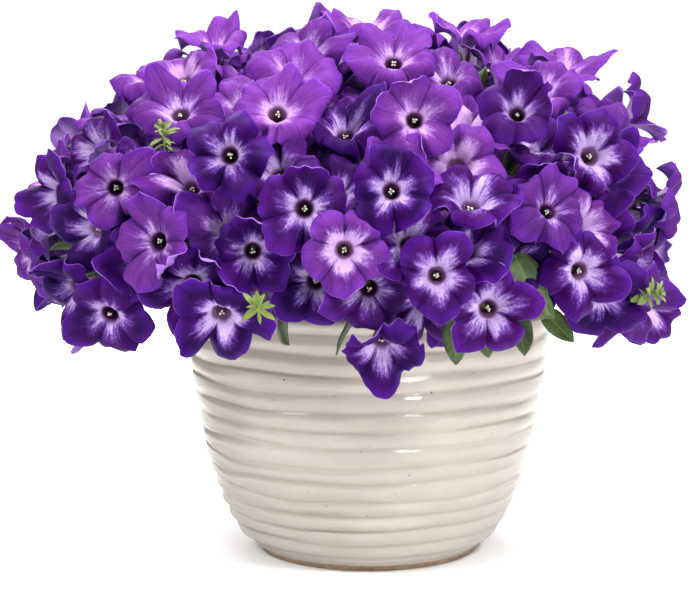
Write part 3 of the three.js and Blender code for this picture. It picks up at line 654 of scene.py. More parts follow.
class Finish:
    """A material and short ways to wire its nodes together."""

    def __init__(self, name, roughness, settings=()):
        self.material = bpy.data.materials.new(name)
        self.material.use_nodes = True
        self.tree = self.material.node_tree
        self.shader = self.tree.nodes["Principled BSDF"]
        self.shader.inputs["Roughness"].default_value = roughness
        for key, value in dict(settings).items():
            self.shader.inputs[key].default_value = value

    def node(self, kind, inputs, **settings):
        made = self.tree.nodes.new(kind)
        for key, value in settings.items():
            setattr(made, key, value)
        for key, value in inputs.items():
            if isinstance(value, bpy.types.NodeSocket):
                self.tree.links.new(value, made.inputs[key])
            else:
                made.inputs[key].default_value = value
        return made

    def math(self, operation, a, b=0.0):
        inputs = {0: a, 1: b}
        return self.node("ShaderNodeMath", inputs, operation=operation).outputs[0]

    def mix(self, share, a, b, blend="MIX"):
        made = self.node("ShaderNodeMix", {0: share, 6: a, 7: b}, data_type="RGBA",
                         blend_type=blend)
        return made.outputs[2]

    def tint(self, colour, *shades):
        """Lays shades over a colour: what drives each, from where to where, how much, and which."""
        for value, low, high, most, shade in shades:
            colour = self.mix(self.step(value, low, high, 0, most), colour, shade)
        return colour

    def step(self, value, low, high, start=0.0, end=1.0):
        """A smooth step from start to end, as the value goes from low to high."""
        inputs = {0: value, 1: low, 2: high, 3: start, 4: end}
        made = self.node("ShaderNodeMapRange", inputs, interpolation_type="SMOOTHSTEP")
        return made.outputs[0]

    def noise(self, vector, scale, detail=2.0, roughness=0.5):
        inputs = {"Vector": vector, "Scale": scale, "Detail": detail, "Roughness": roughness}
        return self.node("ShaderNodeTexNoise", inputs).outputs[0]

    def stretched(self, vector, x, y, z):
        inputs = {0: vector, 1: (x, y, z)}
        return self.node("ShaderNodeVectorMath", inputs, operation="MULTIPLY").outputs[0]

    def corner_values(self, name):
        vector = self.node("ShaderNodeAttribute", {}, attribute_name=name).outputs["Vector"]
        parts = self.node("ShaderNodeSeparateXYZ", {0: vector}).outputs
        return vector, parts[0], parts[1], parts[2]

    def here(self):
        return self.node("ShaderNodeTexCoord", {}).outputs["Object"]

    def colour(self, value):
        self.tree.links.new(value, self.shader.inputs["Base Color"])

    def rough(self, value):
        self.tree.links.new(value, self.shader.inputs["Roughness"])

    def bump(self, height, depth, strength=1.0):
        inputs = {"Height": height, "Distance": depth, "Strength": strength}
        made = self.node("ShaderNodeBump", inputs)
        self.tree.links.new(made.outputs[0], self.shader.inputs["Normal"])


# How far from a bloom's axis its throat ends and its halo ends, as shares of its radius.
THROAT_SHARE = 0.185
HALO_SHARE = 0.49


def petal_finish():
    """The upper side of the petals: deep violet round a pale ragged star and a dark throat."""
    f = Finish("petal", 0.5, {"Specular IOR Level": 0.05})
    _, share, lobe, tone = f.corner_values("place")
    ray, _, _, _ = f.corner_values("ray")
    here = f.here()
    wide = f.noise(f.stretched(ray, 2.2, 2.2, 1), 1.0, 2)
    streaks = f.noise(f.stretched(ray, 8, 8, 2.6), 1.0, 5, 0.7)
    fine = f.noise(f.stretched(ray, 30, 30, 1.6), 1.0, 3, 0.6)
    specks = f.noise(here, 620, 4, 0.75)
    clouds = f.noise(here, 46, 3)
    bloom = f.noise(f.stretched(ray, 0, 0, 0.37), 1.0, 0)
    violet = f.tint(
        srgb(28, 3, 58),
        (clouds, 0.36, 0.66, 1, srgb(52, 6, 84)),
        # Lighter, pinker violet with tone: partly each bloom's own colour, partly painted light on
        # the higher blooms.
        (tone, 0.3, 1.0, 0.9, srgb(120, 56, 152)),
        (bloom, 0.48, 0.7, 0.7, srgb(66, 7, 84)),
        (fine, 0.42, 0.75, 0.45, srgb(26, 1, 66)),
        (share, 0.72, 1.0, 0.3, srgb(96, 30, 168)),
        # Darker at the borders between lobes: painted shade in the creases there.
        (lobe, 0.88, 1.0, 0.6, srgb(18, 1, 46)),
        (lobe, 0.05, 0.0, 0.3, srgb(24, 1, 60)),
    )
    reach = HALO_SHARE
    for part, weight in ((streaks, 0.6), (wide, 0.55), (bloom, 0.8), (specks, 0.28)):
        reach = f.math("ADD", f.math("MULTIPLY", f.math("SUBTRACT", part, 0.5), weight), reach)
    reach = f.math("SUBTRACT", reach, f.math("MULTIPLY", f.math("POWER", lobe, 3.0), 0.1))
    past = f.math("SUBTRACT", share, reach)
    halo = f.step(past, 0.14, -0.26)
    for fade in ((fine, 0.28, 0.6, 0.8, 1.0),
                 (f.math("MULTIPLY", lobe, share), 0.36, 0.55, 1.0, 0.5),
                 (clouds, 0.3, 0.55, 0.75, 1.0), (specks, 0.3, 0.6, 0.82, 1.0)):
        halo = f.math("MULTIPLY", halo, f.step(*fade))
    pale = f.tint(srgb(132, 82, 194), (past, 0.02, -0.26, 1, srgb(203, 176, 226)),
                  # The halo turns pinker with tone, which is partly painted light on the higher
                  # blooms.
                  (tone, 0.4, 1.0, 0.5, srgb(212, 156, 212)))
    mouth = f.tint(srgb(64, 20, 66), (bloom, 0.46, 0.62, 1, srgb(136, 92, 132)))
    depth = f.tint(srgb(36, 9, 38), (bloom, 0.46, 0.62, 1, srgb(120, 78, 108)))
    f.colour(f.tint(
        f.mix(halo, violet, pale),
        (share, THROAT_SHARE + 0.08, THROAT_SHARE, 0.85, srgb(78, 24, 84)),
        (share, THROAT_SHARE + 0.02, THROAT_SHARE - 0.02, 1, mouth),
        (share, THROAT_SHARE - 0.03, THROAT_SHARE - 0.09, 1, depth),
        # A thin paler rim at the petal edge: a painted highlight where the edges catch the light.
        (share, 0.98, 1.0, 0.3, srgb(160, 104, 204)),
    ))
    grain = f.noise(here, 900, 2)
    f.bump(f.math("ADD", fine, f.math("MULTIPLY", grain, 0.5)), 0.0007, 0.7)
    return f.material


def petal_back_finish():
    """The underside of the petals and the outside of the tube: pale lilac with violet veins."""
    f = Finish("petal_back", 0.55, {"Specular IOR Level": 0.25})
    _, share, lobe, tone = f.corner_values("place")
    ray, _, _, _ = f.corner_values("ray")
    veins = f.noise(f.stretched(ray, 18, 18, 1), 1.0, 4, 0.6)
    f.colour(f.tint(
        srgb(216, 198, 228),
        (share, 0.15, 0.95, 1, srgb(160, 114, 214)),
        # Pinker backs with tone, which is partly painted light on the higher blooms.
        (tone, 0.2, 1.0, 0.5, srgb(172, 104, 208)),
        (veins, 0.5, 0.72, 0.5, srgb(122, 62, 168)),
        (lobe, 0.1, 0.0, 0.5, srgb(112, 66, 156)),
    ))
    f.bump(veins, 0.0005, 0.4)
    return f.material


def green_finish(name, dark, light, vein):
    """Leaves, calyces and shoots: green, paler along the midrib and the side veins."""
    f = Finish(name, 0.5, {"Sheen Weight": 0.15})
    _, along, across, tone = f.corner_values("place")
    width = f.math("ABSOLUTE", across)
    patches = f.noise(f.here(), 120, 3)
    colour = f.mix(f.step(patches, 0.3, 0.7), dark, light)
    colour = f.mix(f.math("MULTIPLY", tone, 0.8), colour, vein)
    slant = f.math("SUBTRACT", f.math("MULTIPLY", along, 7.0), f.math("MULTIPLY", width, 1.3))
    wave = f.math("ABSOLUTE", f.math("SUBTRACT", f.math("FRACT", slant), 0.5))
    side = f.math("MULTIPLY", f.step(wave, 0.1, 0.02), 0.5)
    middle = f.step(width, 0.12, 0.03)
    lines = f.math("MAXIMUM", side, middle)
    f.colour(f.mix(f.math("MULTIPLY", lines, 0.28), colour, vein))
    f.bump(f.math("SUBTRACT", f.noise(f.here(), 1500, 2), lines), 0.0004, 0.5)
    return f.material


def plain_finish(name, dark, light, scale, roughness, depth):
    """A material of two shades in patches, with a fine grain."""
    f = Finish(name, roughness)
    patches = f.noise(f.here(), scale, 4, 0.6)
    f.colour(f.mix(f.step(patches, 0.3, 0.7), dark, light))
    f.bump(f.noise(f.here(), scale * 6, 3), depth, 0.6)
    return f.material


def glaze_finish():
    """Cream glaze with drifts of darker and lighter cream and small brown specks, and greyer where
    the ribs meet, which is painted shade.
    """
    f = Finish("glaze", 0.2)
    _, groove, _, _ = f.corner_values("place")
    here = f.here()
    drift = f.noise(f.stretched(here, 1, 1, 2.4), 9, 4, 0.55)
    colour = f.mix(f.step(drift, 0.3, 0.7), srgb(172, 163, 153), srgb(189, 181, 172))
    cloudy = f.noise(f.stretched(here, 1, 1, 1.6), 85, 5, 0.75)
    colour = f.mix(f.step(cloudy, 0.36, 0.7, 0.45, 0), colour, srgb(180, 169, 156))
    # Greyer in the grooves under each rib: painted shade where the rolls overhang.
    colour = f.mix(f.step(groove, 0.4, 1.0, 0, 0.6), colour, srgb(168, 156, 143))
    for scale, size, rarity, strength in ((70, 0.055, 0.62, 0.85), (170, 0.1, 0.72, 0.5)):
        cells = f.node("ShaderNodeTexVoronoi", {"Vector": here, "Scale": scale})
        chance = f.node("ShaderNodeSeparateColor", {0: cells.outputs["Color"]}).outputs[0]
        reach = f.math("MULTIPLY", f.step(chance, rarity, 1.0), size)
        inside = f.math("LESS_THAN", cells.outputs["Distance"], reach)
        colour = f.mix(f.math("MULTIPLY", inside, strength), colour, srgb(84, 62, 46))
    f.colour(colour)
    f.rough(f.step(f.noise(here, 30, 3), 0.3, 0.7, 0.09, 0.22))
    f.bump(f.noise(f.stretched(here, 1, 1, 3), 55, 3), 0.0012, 0.25)
    return f.material


# ------------------------------------------------------------------ pot and soil


def radius_at(outline, z):
    heights, radii = zip(*outline)
    return float(np.interp(z, heights, radii))


def rib_foot(rib):
    t = rib / POT.rib_count
    return mix(POT.ribs_from, POT.ribs_to, t * (1 - POT.rib_growth + POT.rib_growth * t))


def rib_wave(rib, angles):
    """How far a rib wanders up and down on its way round the pot."""
    draw = draws(500 + rib)
    a, b, c = (draw() * FULL_TURN for _ in range(3))
    return POT.rib_wave * (0.6 * np.sin(angles + a) + 0.5 * np.sin(2 * angles + b)
                           + 0.4 * np.sin(5 * angles + c))


POT_COLUMNS = 240
CLAY_HEIGHT = 4.3
RIB_ROWS = 10


def rib_edge(rib, angles):
    """The height of the groove under a rib, which wanders on its way round the pot."""
    draw = draws(700 + rib)
    wander = sum(size * np.sin(count * angles + draw() * FULL_TURN)
                 for count, size in ((1, 0.9), (3, 0.7), (4, 0.5), (7, 0.4), (11, 0.22)))
    free = math.sin(math.pi * min(1.0, rib / POT.rib_count)) ** 0.4
    return rib_foot(rib) + rib_wave(min(rib, POT.rib_count - 1), angles) + free * wander


def dents(angles, z):
    """How far the thrower's fingers left the wall in or out, round one ring of the pot."""
    return np.array([0.7 * noise.noise(Vector((4 * math.cos(angle), 4 * math.sin(angle), high / 15)))
                     for angle, high in zip(angles, z)]) * np.clip((z - 8) / 10, 0, 1)


def rib_rows(angles):
    """The rings of the ribs: soft rolls, deeper on the left of the pot, that come and go."""
    rows, grooves = [], []
    for rib in range(POT.rib_count):
        draw = draws(640 + rib)
        low, high = rib_edge(rib, angles), rib_edge(rib + 1, angles)
        fades = [(count, draw() * FULL_TURN, mix(0.1, 0.26, draw())) for count in (2, 3, 5)]
        depth = 0.95 - 0.38 * np.cos(angles)
        depth = depth + sum(size * np.sin(count * angles + turn) for count, turn, size in fades)
        depth = POT.rib_depth * np.clip(depth, 0.25, 1.5)
        crest = mix(0.32, 0.48, draw())
        for i in range(RIB_ROWS):
            v = i / RIB_ROWS
            groove = (1 - v / crest) ** 1.8 if v < crest else ((v - crest) / (1 - crest)) ** 1.7
            z = mix(low, high, v)
            outline = np.interp(z, *zip(*POT_OUTLINE)) + dents(angles, z)
            rows.append((outline - depth * groove, z))
            grooves.append(groove)
    return rows, grooves


def pot_shape():
    """The pot as rings from the middle of its underside, over the ribs and rim, to its floor."""
    angles = FULL_TURN * np.arange(POT_COLUMNS) / POT_COLUMNS
    level = np.ones(POT_COLUMNS)
    foot = [(0, 20), (0, 60), (0, 76.8), (0.5, 77.9), (1.2, POT.foot_radius), (2.4, 78.6),
            (2.9, 79.3), (4.2, 80.2), (5.6, 81.2), (6.9, 82.8), (8.2, 85.2)]
    rim = [(176.5, 129.2), (177.4, 130.7), (179, 131.4), (181, 131.5), (183, 130.9),
           (184.4, 129.4), (185, 127.4), (184.6, 125.6), (183.4, 124.2)]
    inside = [(z, r) for z, r in reversed(POT_INSIDE)]
    floor = [(POT.floor_thickness, 50), (POT.floor_thickness, 15)]
    ribs, grooves = rib_rows(angles)
    rows = [(r * level, z * level) for z, r in foot]
    rows += ribs
    rows += [(r * level, z * level) for z, r in rim + inside + floor]
    values = [0.0] * len(foot) + grooves + [0.0] * (len(rows) - len(foot) - len(grooves))
    points = np.concatenate([
        np.stack([r * np.cos(angles), r * np.sin(angles), z], axis=1) for r, z in rows])
    place = np.repeat(np.array(values), POT_COLUMNS)
    faces = outward(grid_faces(len(rows), POT_COLUMNS))
    first, last = len(points), (len(rows) - 1) * POT_COLUMNS
    points = np.vstack([points, [0, 0, 0], [0, 0, POT.floor_thickness]])
    place = np.append(place, [0.0, 0.0])
    for k in range(POT_COLUMNS):
        n = (k + 1) % POT_COLUMNS
        faces.append((first, n, k))
        faces.append((first + 1, last + k, last + n))
    shape = Shape()
    shape.add(points, faces, 0, np.stack([place, place * 0, place * 0], axis=1))
    for i, face in enumerate(shape.faces):
        if max(points[k][2] for k in face) < CLAY_HEIGHT:
            shape.slots[i] = 1
    return shape


def cut_drains(pot):
    """Cuts the drainage holes out of the pot's floor."""
    shape = Shape()
    for k in range(POT.drain_count):
        angle = FULL_TURN * k / POT.drain_count + math.radians(30)
        x, y = POT.drain_circle * math.cos(angle), POT.drain_circle * math.sin(angle)
        ends = [np.array([x, y, z]) for z in (-20.0, 20.0)]
        tube(shape, ends, [POT.drain_radius] * 2, 32)
    cutter = add_object("drains", mesh_of("drains", shape))
    cut = pot.modifiers.new("drains", "BOOLEAN")
    cut.operation, cut.solver, cut.object = "DIFFERENCE", "MANIFOLD", cutter
    graph = bpy.context.evaluated_depsgraph_get()
    whole = bpy.data.meshes.new_from_object(pot.evaluated_get(graph))
    pot.modifiers.clear()
    pot.data = whole
    bpy.data.objects.remove(cutter)


def soil_height(x, y):
    """The crumbly surface of the soil: a low dome with lumps of several sizes."""
    rise = SOIL.dome * (1 - (x * x + y * y) / 122 ** 2)
    for size, height in ((28, 2.2), (9, 1.6), (3.6, 0.9)):
        rise += height * noise.noise(Vector((x / size, y / size, size)))
    return SOIL.top - 1 + rise


def soil_shape():
    columns, rings = 150, 44
    low = POT.floor_thickness + SOIL.floor_gap
    sides = [(low, 10), *((z, radius_at(POT_INSIDE, z) - SOIL.side_gap)
                          for z in (low, 26, 84, 150, SOIL.top - 3))]
    angles = FULL_TURN * np.arange(columns) / columns
    ways = np.stack([np.cos(angles), np.sin(angles)], axis=1)
    rows = [np.column_stack([ways * r, np.full(columns, z)]) for z, r in sides]
    edge = sides[-1][1]
    for ring in range(rings):
        flat = ways * (edge * (1 - (ring + 0.3) / rings))
        rows.append(np.column_stack([flat, [soil_height(x, y) for x, y in flat]]))
    shape = Shape()
    shape.add(np.concatenate(rows), outward(closed_faces(len(rows), columns)))
    return shape


CRUMBS = Values(count=420, reach=116, least=0.9, most=3.2)


def crumb_shape():
    """Loose crumbs of soil and bark, each half sunk in the surface."""
    shape = Shape()
    draw = draws(77)
    for _ in range(CRUMBS.count):
        angle, r = draw() * FULL_TURN, CRUMBS.reach * math.sqrt(draw())
        x, y = r * math.cos(angle), r * math.sin(angle)
        size = mix(CRUMBS.least, CRUMBS.most, draw() ** 2)
        lean = unit(np.array([draw() - 0.5, draw() - 0.5, 0.35]))
        middle = np.array([x, y, soil_height(x, y) + 0.2 * size])
        shares = ((-1, 0.45), (-0.4, 1.0), (0.45, 0.85), (1, 0.35))
        path = [middle + lean * (size * share) for share, _ in shares]
        tube(shape, path, [size * mix(0.8, 1.1, draw()) * wide for _, wide in shares], 6)
    return shape


# ------------------------------------------------------------------ blooms

LOBE_COLUMNS = 14
COLUMNS = LOBES * LOBE_COLUMNS
# For each column of a bloom's petals: its angle, its lobe, and its place across the lobe, from
# -1 at one border to nearly 1 at the other.
COLUMN_ANGLES = FULL_TURN * np.arange(COLUMNS) / COLUMNS
COLUMN_LOBES = np.arange(COLUMNS) // LOBE_COLUMNS
COLUMN_PLACES = 2 * (np.arange(COLUMNS) % LOBE_COLUMNS) / LOBE_COLUMNS - 1
# The rings of a bloom's petals, from the throat at 0 to the edge at 1.
LIMB_ROWS = (0, 0.04, 0.1, 0.18, 0.27, 0.37, 0.47, 0.57, 0.67, 0.77, 0.86, 0.94, 1)
# The inside of a bloom's tube: height over the throat, and radius.
TUBE_ROWS = [(-26, 1.8), (-23, 2.3), (-20, 2.9), (-17, 3.6), (-14.5, 4.3), (-12.4, 4.9)]
THROAT = Values(radius=5.4, height=-11.0)
# What keeps off a bloom's tube: height over its throat, and how near its axis.
TUBE_WALL = [(-27, 3.4), (-18, 4.6), (-12, 6.6), (-6, 8.6), (-2, 10)]
# Inside this no other bloom's petals are left: height over the throat, and radius.
TUBE_HOLLOW = [(-26, 1.8), (-17, 3.6), (-11, 5.2), (-8.6, 8), (-6, 10), (-4, 11.5)]
# How petals are bent clear: the gap kept, how it falls past the edge, and the longest move.
PRESS = Values(gap=0.9, rise=22.0, most=15.0)
# Rolled lobes: the share that roll forward and back, where the roll starts, and how far they
# turn in degrees. Blooms that face the front, by the Y of their facing, roll further forward.
ROLL = Values(
    forward=0.16, back=0.3, start=0.46, least=30, most_back=90, most_side=70, most_front=115,
    front=-0.5,
)
PETAL_THICKNESS = 0.00035
# A petal's waves: how many go round, the least and most depth, and how near the edge they keep.
WAVES = ((1, 0, 5, 2), (2, 1, 6, 2), (6, 0.6, 2.4, 3), (11, 0.5, 2, 3), (17, 0.4, 1.4, 4))
# Its crumples: how many ways they run, radians to the millimetre at the finest, and their depth.
CRUMPLE = Values(count=5, finest=0.4, depth=0.55)
# How light and pink a bloom is: its own chance, which is the bloom's own colour, and more for blooms
# higher in the mound, which is painted light from above.
TONE = Values(chance=0.66, by_height=0.55, from_height=208, span=140)
UNDER = Values(
    candidates=620, lowest=-0.55, spacing=23, depth=12, lean=0.8, most_crossing=14,
    most_leaf_hits=6, rim_height=198, clear_radius=172, lowest_throat=196,
    hanging_reach=62,
)


def shape_corolla(site, number):
    """The corners of one bloom's petals, grown together: tube, throat and five waved lobes."""
    draw = draws(5000 + number)
    angles, lobe, s = COLUMN_ANGLES, COLUMN_LOBES, COLUMN_PLACES
    off = np.abs(s)

    def lobe_draws(low, high, power=1.0):
        return mix(low, high, np.array([draw() for _ in range(LOBES)]) ** power)

    def by_border(values):
        return values[np.where(s > 0, lobe + 1, lobe) % LOBES]

    stretch, lean, twist = lobe_draws(0.9, 1.06), lobe_draws(-1, 1), lobe_draws(-8, 8)
    roundness, tip = lobe_draws(1.5, 3.4)[lobe], lobe_draws(0, 0.13, 1.5)[lobe]
    curl, fold = lobe_draws(-3.0, 9.0)[lobe], lobe_draws(0.1, 4.5, 1.4)[lobe]
    arch, roll = lobe_draws(-1.5, 7.0)[lobe], lobe_draws(0.0, 8.0, 2.0)[lobe]
    notch, groove = by_border(lobe_draws(0.12, 0.27)), by_border(lobe_draws(1.0, 9.5, 1.1))
    pleat, star = lobe_draws(-3.5, 7.0)[lobe], draw() ** 1.6
    notch, tip, curl = notch + 0.1 * star, tip + 0.05 * star, curl + 6.0 * star
    lean = (np.sign(lean) * np.abs(lean) ** 1.3)[lobe] * mix(7.0, 17.0, draw())
    body = 1 - off ** 2.4
    edge = 1.02 - notch * off ** roundness + tip * np.maximum(0, 1 - off / 0.4) ** 1.3
    site.edge = BLOOM.radius * site.size * edge * mix(1, stretch[lobe], body)
    reflex = mix(-2.0, 5.0, draw())
    waves = [(count, mix(low, high, draw()), draw() * FULL_TURN, power)
             for count, low, high, power in WAVES]
    crumples = [(mix(-CRUMPLE.finest, CRUMPLE.finest, draw()),
                 mix(-CRUMPLE.finest, CRUMPLE.finest, draw()), draw() * FULL_TURN)
                for _ in range(CRUMPLE.count)]
    bend = lean * (1 - s * s) + twist[lobe] * s * (1 - off ** 4)
    rows = [(np.full(COLUMNS, r * site.size), np.full(COLUMNS, float(z))) for z, r in TUBE_ROWS]
    for u in LIMB_ROWS:
        z = mix(THROAT.height, site.cup + 1.5, 1 - (1 - u) ** 2.0) - reflex * u ** 3
        z = z + arch * body * math.sin(math.pi * u ** 0.8) - roll * body * max(0, u - 0.55) ** 2 * 5
        z = z - groove * np.exp(-(1 - off) / 0.14) * u ** 0.8 * (1.15 - 0.5 * u)
        z = z - fold * np.exp(-off / 0.16) * u * (1.25 - 0.6 * u)
        z = z - curl * off ** 3 * u ** 2.5 + bend * u * u
        z = z + pleat * (0.5 + 0.5 * np.cos(math.pi * off)) * u ** 1.3
        for count, depth, turn, power in waves:
            z = z + depth * np.sin(count * angles + turn) * u ** power
        r = mix(THROAT.radius * site.size, site.edge, u)
        for across, over, turn in crumples:
            phase = r * (across * np.cos(angles) + over * np.sin(angles)) + turn
            z = z + CRUMPLE.depth * u * np.sin(phase)
        rows.append((r, z))
    site.heights = np.array([z for _, z in rows[len(TUBE_ROWS):]])
    site.points = np.array([bloom_point(site, r, angles, z) for r, z in rows])
    # A bloom's tone is its own colour by chance, plus painted light from above that grows with its
    # height.
    rise = (site.throat[2] - TONE.from_height) / TONE.span
    site.tone = min(1.0, max(0.0, TONE.chance * draw() + TONE.by_height * rise))


def over_petals(other, points):
    """How far points lie over a bloom's petals, and how far out: 0 at the throat, 1 at the edge."""
    d = points - other.throat
    x, y = d @ other.across, d @ other.over
    column = np.arctan2(y, x) / FULL_TURN % 1 * COLUMNS
    low = column.astype(int) % COLUMNS
    high = (low + 1) % COLUMNS
    part = column - np.floor(column)
    inner = THROAT.radius * other.size
    share = (np.hypot(x, y) - inner) / (mix(other.edge[low], other.edge[high], part) - inner)
    row = np.interp(share, LIMB_ROWS, np.arange(len(LIMB_ROWS)))
    first = np.minimum(row.astype(int), len(LIMB_ROWS) - 2)
    heights = [mix(other.heights[i, low], other.heights[i, high], part) for i in (first, first + 1)]
    return d @ other.face - mix(*heights, row - first), share


def press_clear(site, near):
    """Bends a bloom's petals toward lying over or under each neighbour's, and off its tube."""
    grown = site.points.copy()
    first = len(TUBE_ROWS)
    grip = np.minimum(1.0, np.array(LIMB_ROWS) / 0.2)[:, None, None]
    for _ in range(2):
        for other in near:
            limb = site.points[first:]
            over, share = over_petals(other, limb)
            inside = (share > 0) & (share < 1)
            if not inside.any():
                continue
            side = 1 if np.mean(over[inside] > 0) > 0.5 else -1
            room = PRESS.gap - np.maximum(0, share - 1) * PRESS.rise
            wrong = (share > 0) & (share < 1.6) & (side * over < room)
            move = np.clip(side * room - over, -PRESS.most, PRESS.most) * wrong
            limb += grip * move[..., None] * other.face
            d = limb - other.throat
            height = d @ other.face
            flat = d - height[..., None] * other.face
            r = np.maximum(0.1, np.sqrt((flat * flat).sum(axis=-1)))
            wall = other.size * np.interp(height, *zip(*TUBE_WALL))
            caught = (r < wall) & (height > -BLOOM.tube_length) & (height < -2)
            limb += grip * (flat * ((wall / r - 1) * caught)[..., None])
        moved = site.points - grown
        around = np.roll(moved, 1, axis=1) + np.roll(moved, -1, axis=1)
        out = np.vstack([moved[1:], moved[-1:]]) + np.vstack([moved[:1], moved[:-1]])
        site.points = grown + mix(moved, (around + out) / 4, 0.4)


def roll_lobes(site, number):
    """Rolls the outer part of some lobes forward or back, so that their pale backs show."""
    draw = draws(6000 + number)
    limb = site.points[len(TUBE_ROWS):]
    angles, lobe, s = COLUMN_ANGLES, COLUMN_LOBES, COLUMN_PLACES
    turns, skews = np.zeros(LOBES), np.zeros(LOBES)
    most_forward = ROLL.most_front if site.face[1] < ROLL.front else ROLL.most_side
    for k in range(LOBES):
        chance, size, skews[k] = draw(), draw(), mix(-0.5, 0.5, draw())
        if chance < ROLL.forward:
            turns[k] = -mix(ROLL.least, most_forward, size)
        elif chance < ROLL.forward + ROLL.back:
            turns[k] = mix(ROLL.least, ROLL.most_back, size)
    body = np.clip(1 - (s - skews[lobe]) ** 2, 0, 1) * (1 - s ** 6)
    ends = np.array(LIMB_ROWS)
    share = np.clip(((ends[1:] + ends[:-1]) / 2 - ROLL.start) / (1 - ROLL.start), 0, 1)
    angle = np.outer(share, np.radians(turns[lobe]) * body)[..., None]
    steps = np.diff(limb, axis=0)
    axis = np.outer(-np.sin(angles), site.across) + np.outer(np.cos(angles), site.over)
    axis = np.broadcast_to(axis, steps.shape)
    held = axis * (axis * steps).sum(axis=-1, keepdims=True)
    steps = held + (steps - held) * np.cos(angle) + np.cross(axis, steps) * np.sin(angle)
    limb[1:] = limb[0] + np.cumsum(steps, axis=0)


def tube_cut(site, near):
    """For each face of a bloom, in the order of grid_faces, whether it is cut away: petals are,
    where they lie in the hollow of another's tube."""
    corners = site.points
    ahead = np.roll(corners, -1, axis=1)
    middles = (corners[:-1] + corners[1:] + ahead[:-1] + ahead[1:]) / 4
    cut = np.zeros(middles.shape[:2], dtype=bool)
    for other in near:
        d = middles - other.throat
        height = d @ other.face
        r = np.sqrt(np.maximum(0, (d * d).sum(axis=-1) - height * height))
        hollow = other.size * np.interp(height, *zip(*TUBE_HOLLOW))
        cut |= (r < hollow) & (height > -BLOOM.tube_length) & (height < TUBE_HOLLOW[-1][0])
    cut[:len(TUBE_ROWS)] = False
    return cut.ravel()


def corolla(site, number, shape):
    angles, off = COLUMN_ANGLES, np.abs(COLUMN_PLACES)
    shares = [THROAT_SHARE * 0.9 * r / THROAT.radius for _, r in TUBE_ROWS]
    shares += [mix(THROAT_SHARE, 1, u) for u in LIMB_ROWS]
    rows = len(shares)
    place = np.stack([np.repeat(shares, COLUMNS), np.tile(off, rows),
                      np.full(rows * COLUMNS, site.tone)], axis=1)
    ray = np.stack([np.tile(np.cos(angles), rows), np.tile(np.sin(angles), rows),
                    np.repeat(shares, COLUMNS) * 1.6 + 9 * number], axis=1)
    faces = [face for face, cut in zip(grid_faces(rows, COLUMNS), site.cut) if not cut]
    shape.add(site.points, faces, 0, place, ray)


def anthers(site, number, shape):
    """The pale anthers that show in the throat, on dark threads, round one green stigma."""
    draw = draws(7000 + number)
    for k in range(5):
        angle = FULL_TURN * (k + 0.9 * draw()) / 4
        r, z = (mix(0.8, 1.6, draw()), mix(-11.0, -9.0, draw())) if k < 4 else (0.1, -9.4)
        tip = bloom_point(site, r, angle, z)
        root = bloom_point(site, 0.9, angle, -20.0)
        tube(shape, [root, mix(root, tip, 0.6), tip], [0.22, 0.2, 0.18], 4, 1)
        lean = unit(site.face + site.across * (draw() - 0.5) + site.over * (draw() - 0.5))
        path = [tip + lean * step for step in (-0.6, -0.35, 0.15, 0.5, 0.65)]
        size = mix(1.1, 1.5, draw())
        tube(shape, path, [0.2 * size, 0.5 * size, 0.58 * size, 0.36 * size, 0.15 * size], 6,
             2 if k == 4 else 0)


SEPAL = Values(
    rows=6, arch=0.16, fold=0.12, wave=0.0, waves=0.0, thickness=0.55,
    profile=lambda t: 0.75 if t < 0.5 else 0.75 * (1 - ((t - 0.5) / 0.5) ** 2.2),
)


def calyx(site, shape, draw):
    """The green cup under a bloom, with five narrow hairy sepals that lie along its tube."""
    neck = neck_of(site)
    path = [neck + site.face * z for z in (-1.5, -0.2, 1.2, 2.8, 3.6)]
    tube(shape, path, [1.3, 2.1, 2.9, 2.9, 2.3], 8, 0, (0.1, 0.5, 0.3))
    for k in range(5):
        angle = FULL_TURN * (k + 0.5) / 5
        out = site.across * math.cos(angle) + site.over * math.sin(angle)
        way = unit(site.face + out * 0.22)
        over = unit(out - way * (out @ way))
        root = neck + site.face * 1.6 + out * 2.2
        blade(shape, root, way, over, 13.5, 3.0, SEPAL, 0, 0.3)
        hairs(shape, hair_spots([root, root + way * 10], 0.5, 6, draw))


def stalk(site, spray, shape, draw):
    neck = neck_of(site)
    path = bent_path(spray.node, unit(neck - spray.node), neck, site.face, 9)
    radii = np.linspace(1.25, 1.05, len(path))
    radii[-2:] = (1.3, 1.8)
    tube(shape, path, radii, 7, 0, (0.2, 0.6, 0.15))
    hairs(shape, hair_spots(path, 1.15, 16, draw))


def under_blooms(sites, leaves):
    """A second, lower layer of blooms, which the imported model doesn't have. They fill in
    between the first, and in front the low ones hang only over the middle of the pot."""
    placed = list(sites)
    for surface in spiral(UNDER.candidates, UNDER.lowest):
        if min(distance(site.surface, surface) for site in placed) < UNDER.spacing:
            continue
        draw = draws(1500 + len(placed))
        normal = mound_normal(surface)
        lean = np.array([draw() - 0.5, draw() - 0.5, draw() - 0.3])
        site = Values(surface=surface - normal * UNDER.depth, normal=normal)
        site.wish = eased(unit(normal + lean * UNDER.lean), normal)
        site.roll = draw() * (FULL_TURN / LOBES)
        site.size = mix(0.8, 0.98, draw())
        site.cup = mix(-2, 6, draw())
        site = settle(site, placed)
        hits = sum(crossed(leaf.samples, site) for leaf in leaves)
        neck = neck_of(site)
        clear = neck[2] > UNDER.rim_height or math.hypot(neck[0], neck[1]) > UNDER.clear_radius
        x, y, z = site.throat
        clear = clear and (z > UNDER.lowest_throat or y > 0 or abs(x) < UNDER.hanging_reach)
        if site.crossing <= UNDER.most_crossing and hits <= UNDER.most_leaf_hits and clear:
            site.surface = surface
            placed.append(site)
    return placed[len(sites):]


# ------------------------------------------------------------------ stems and leaves

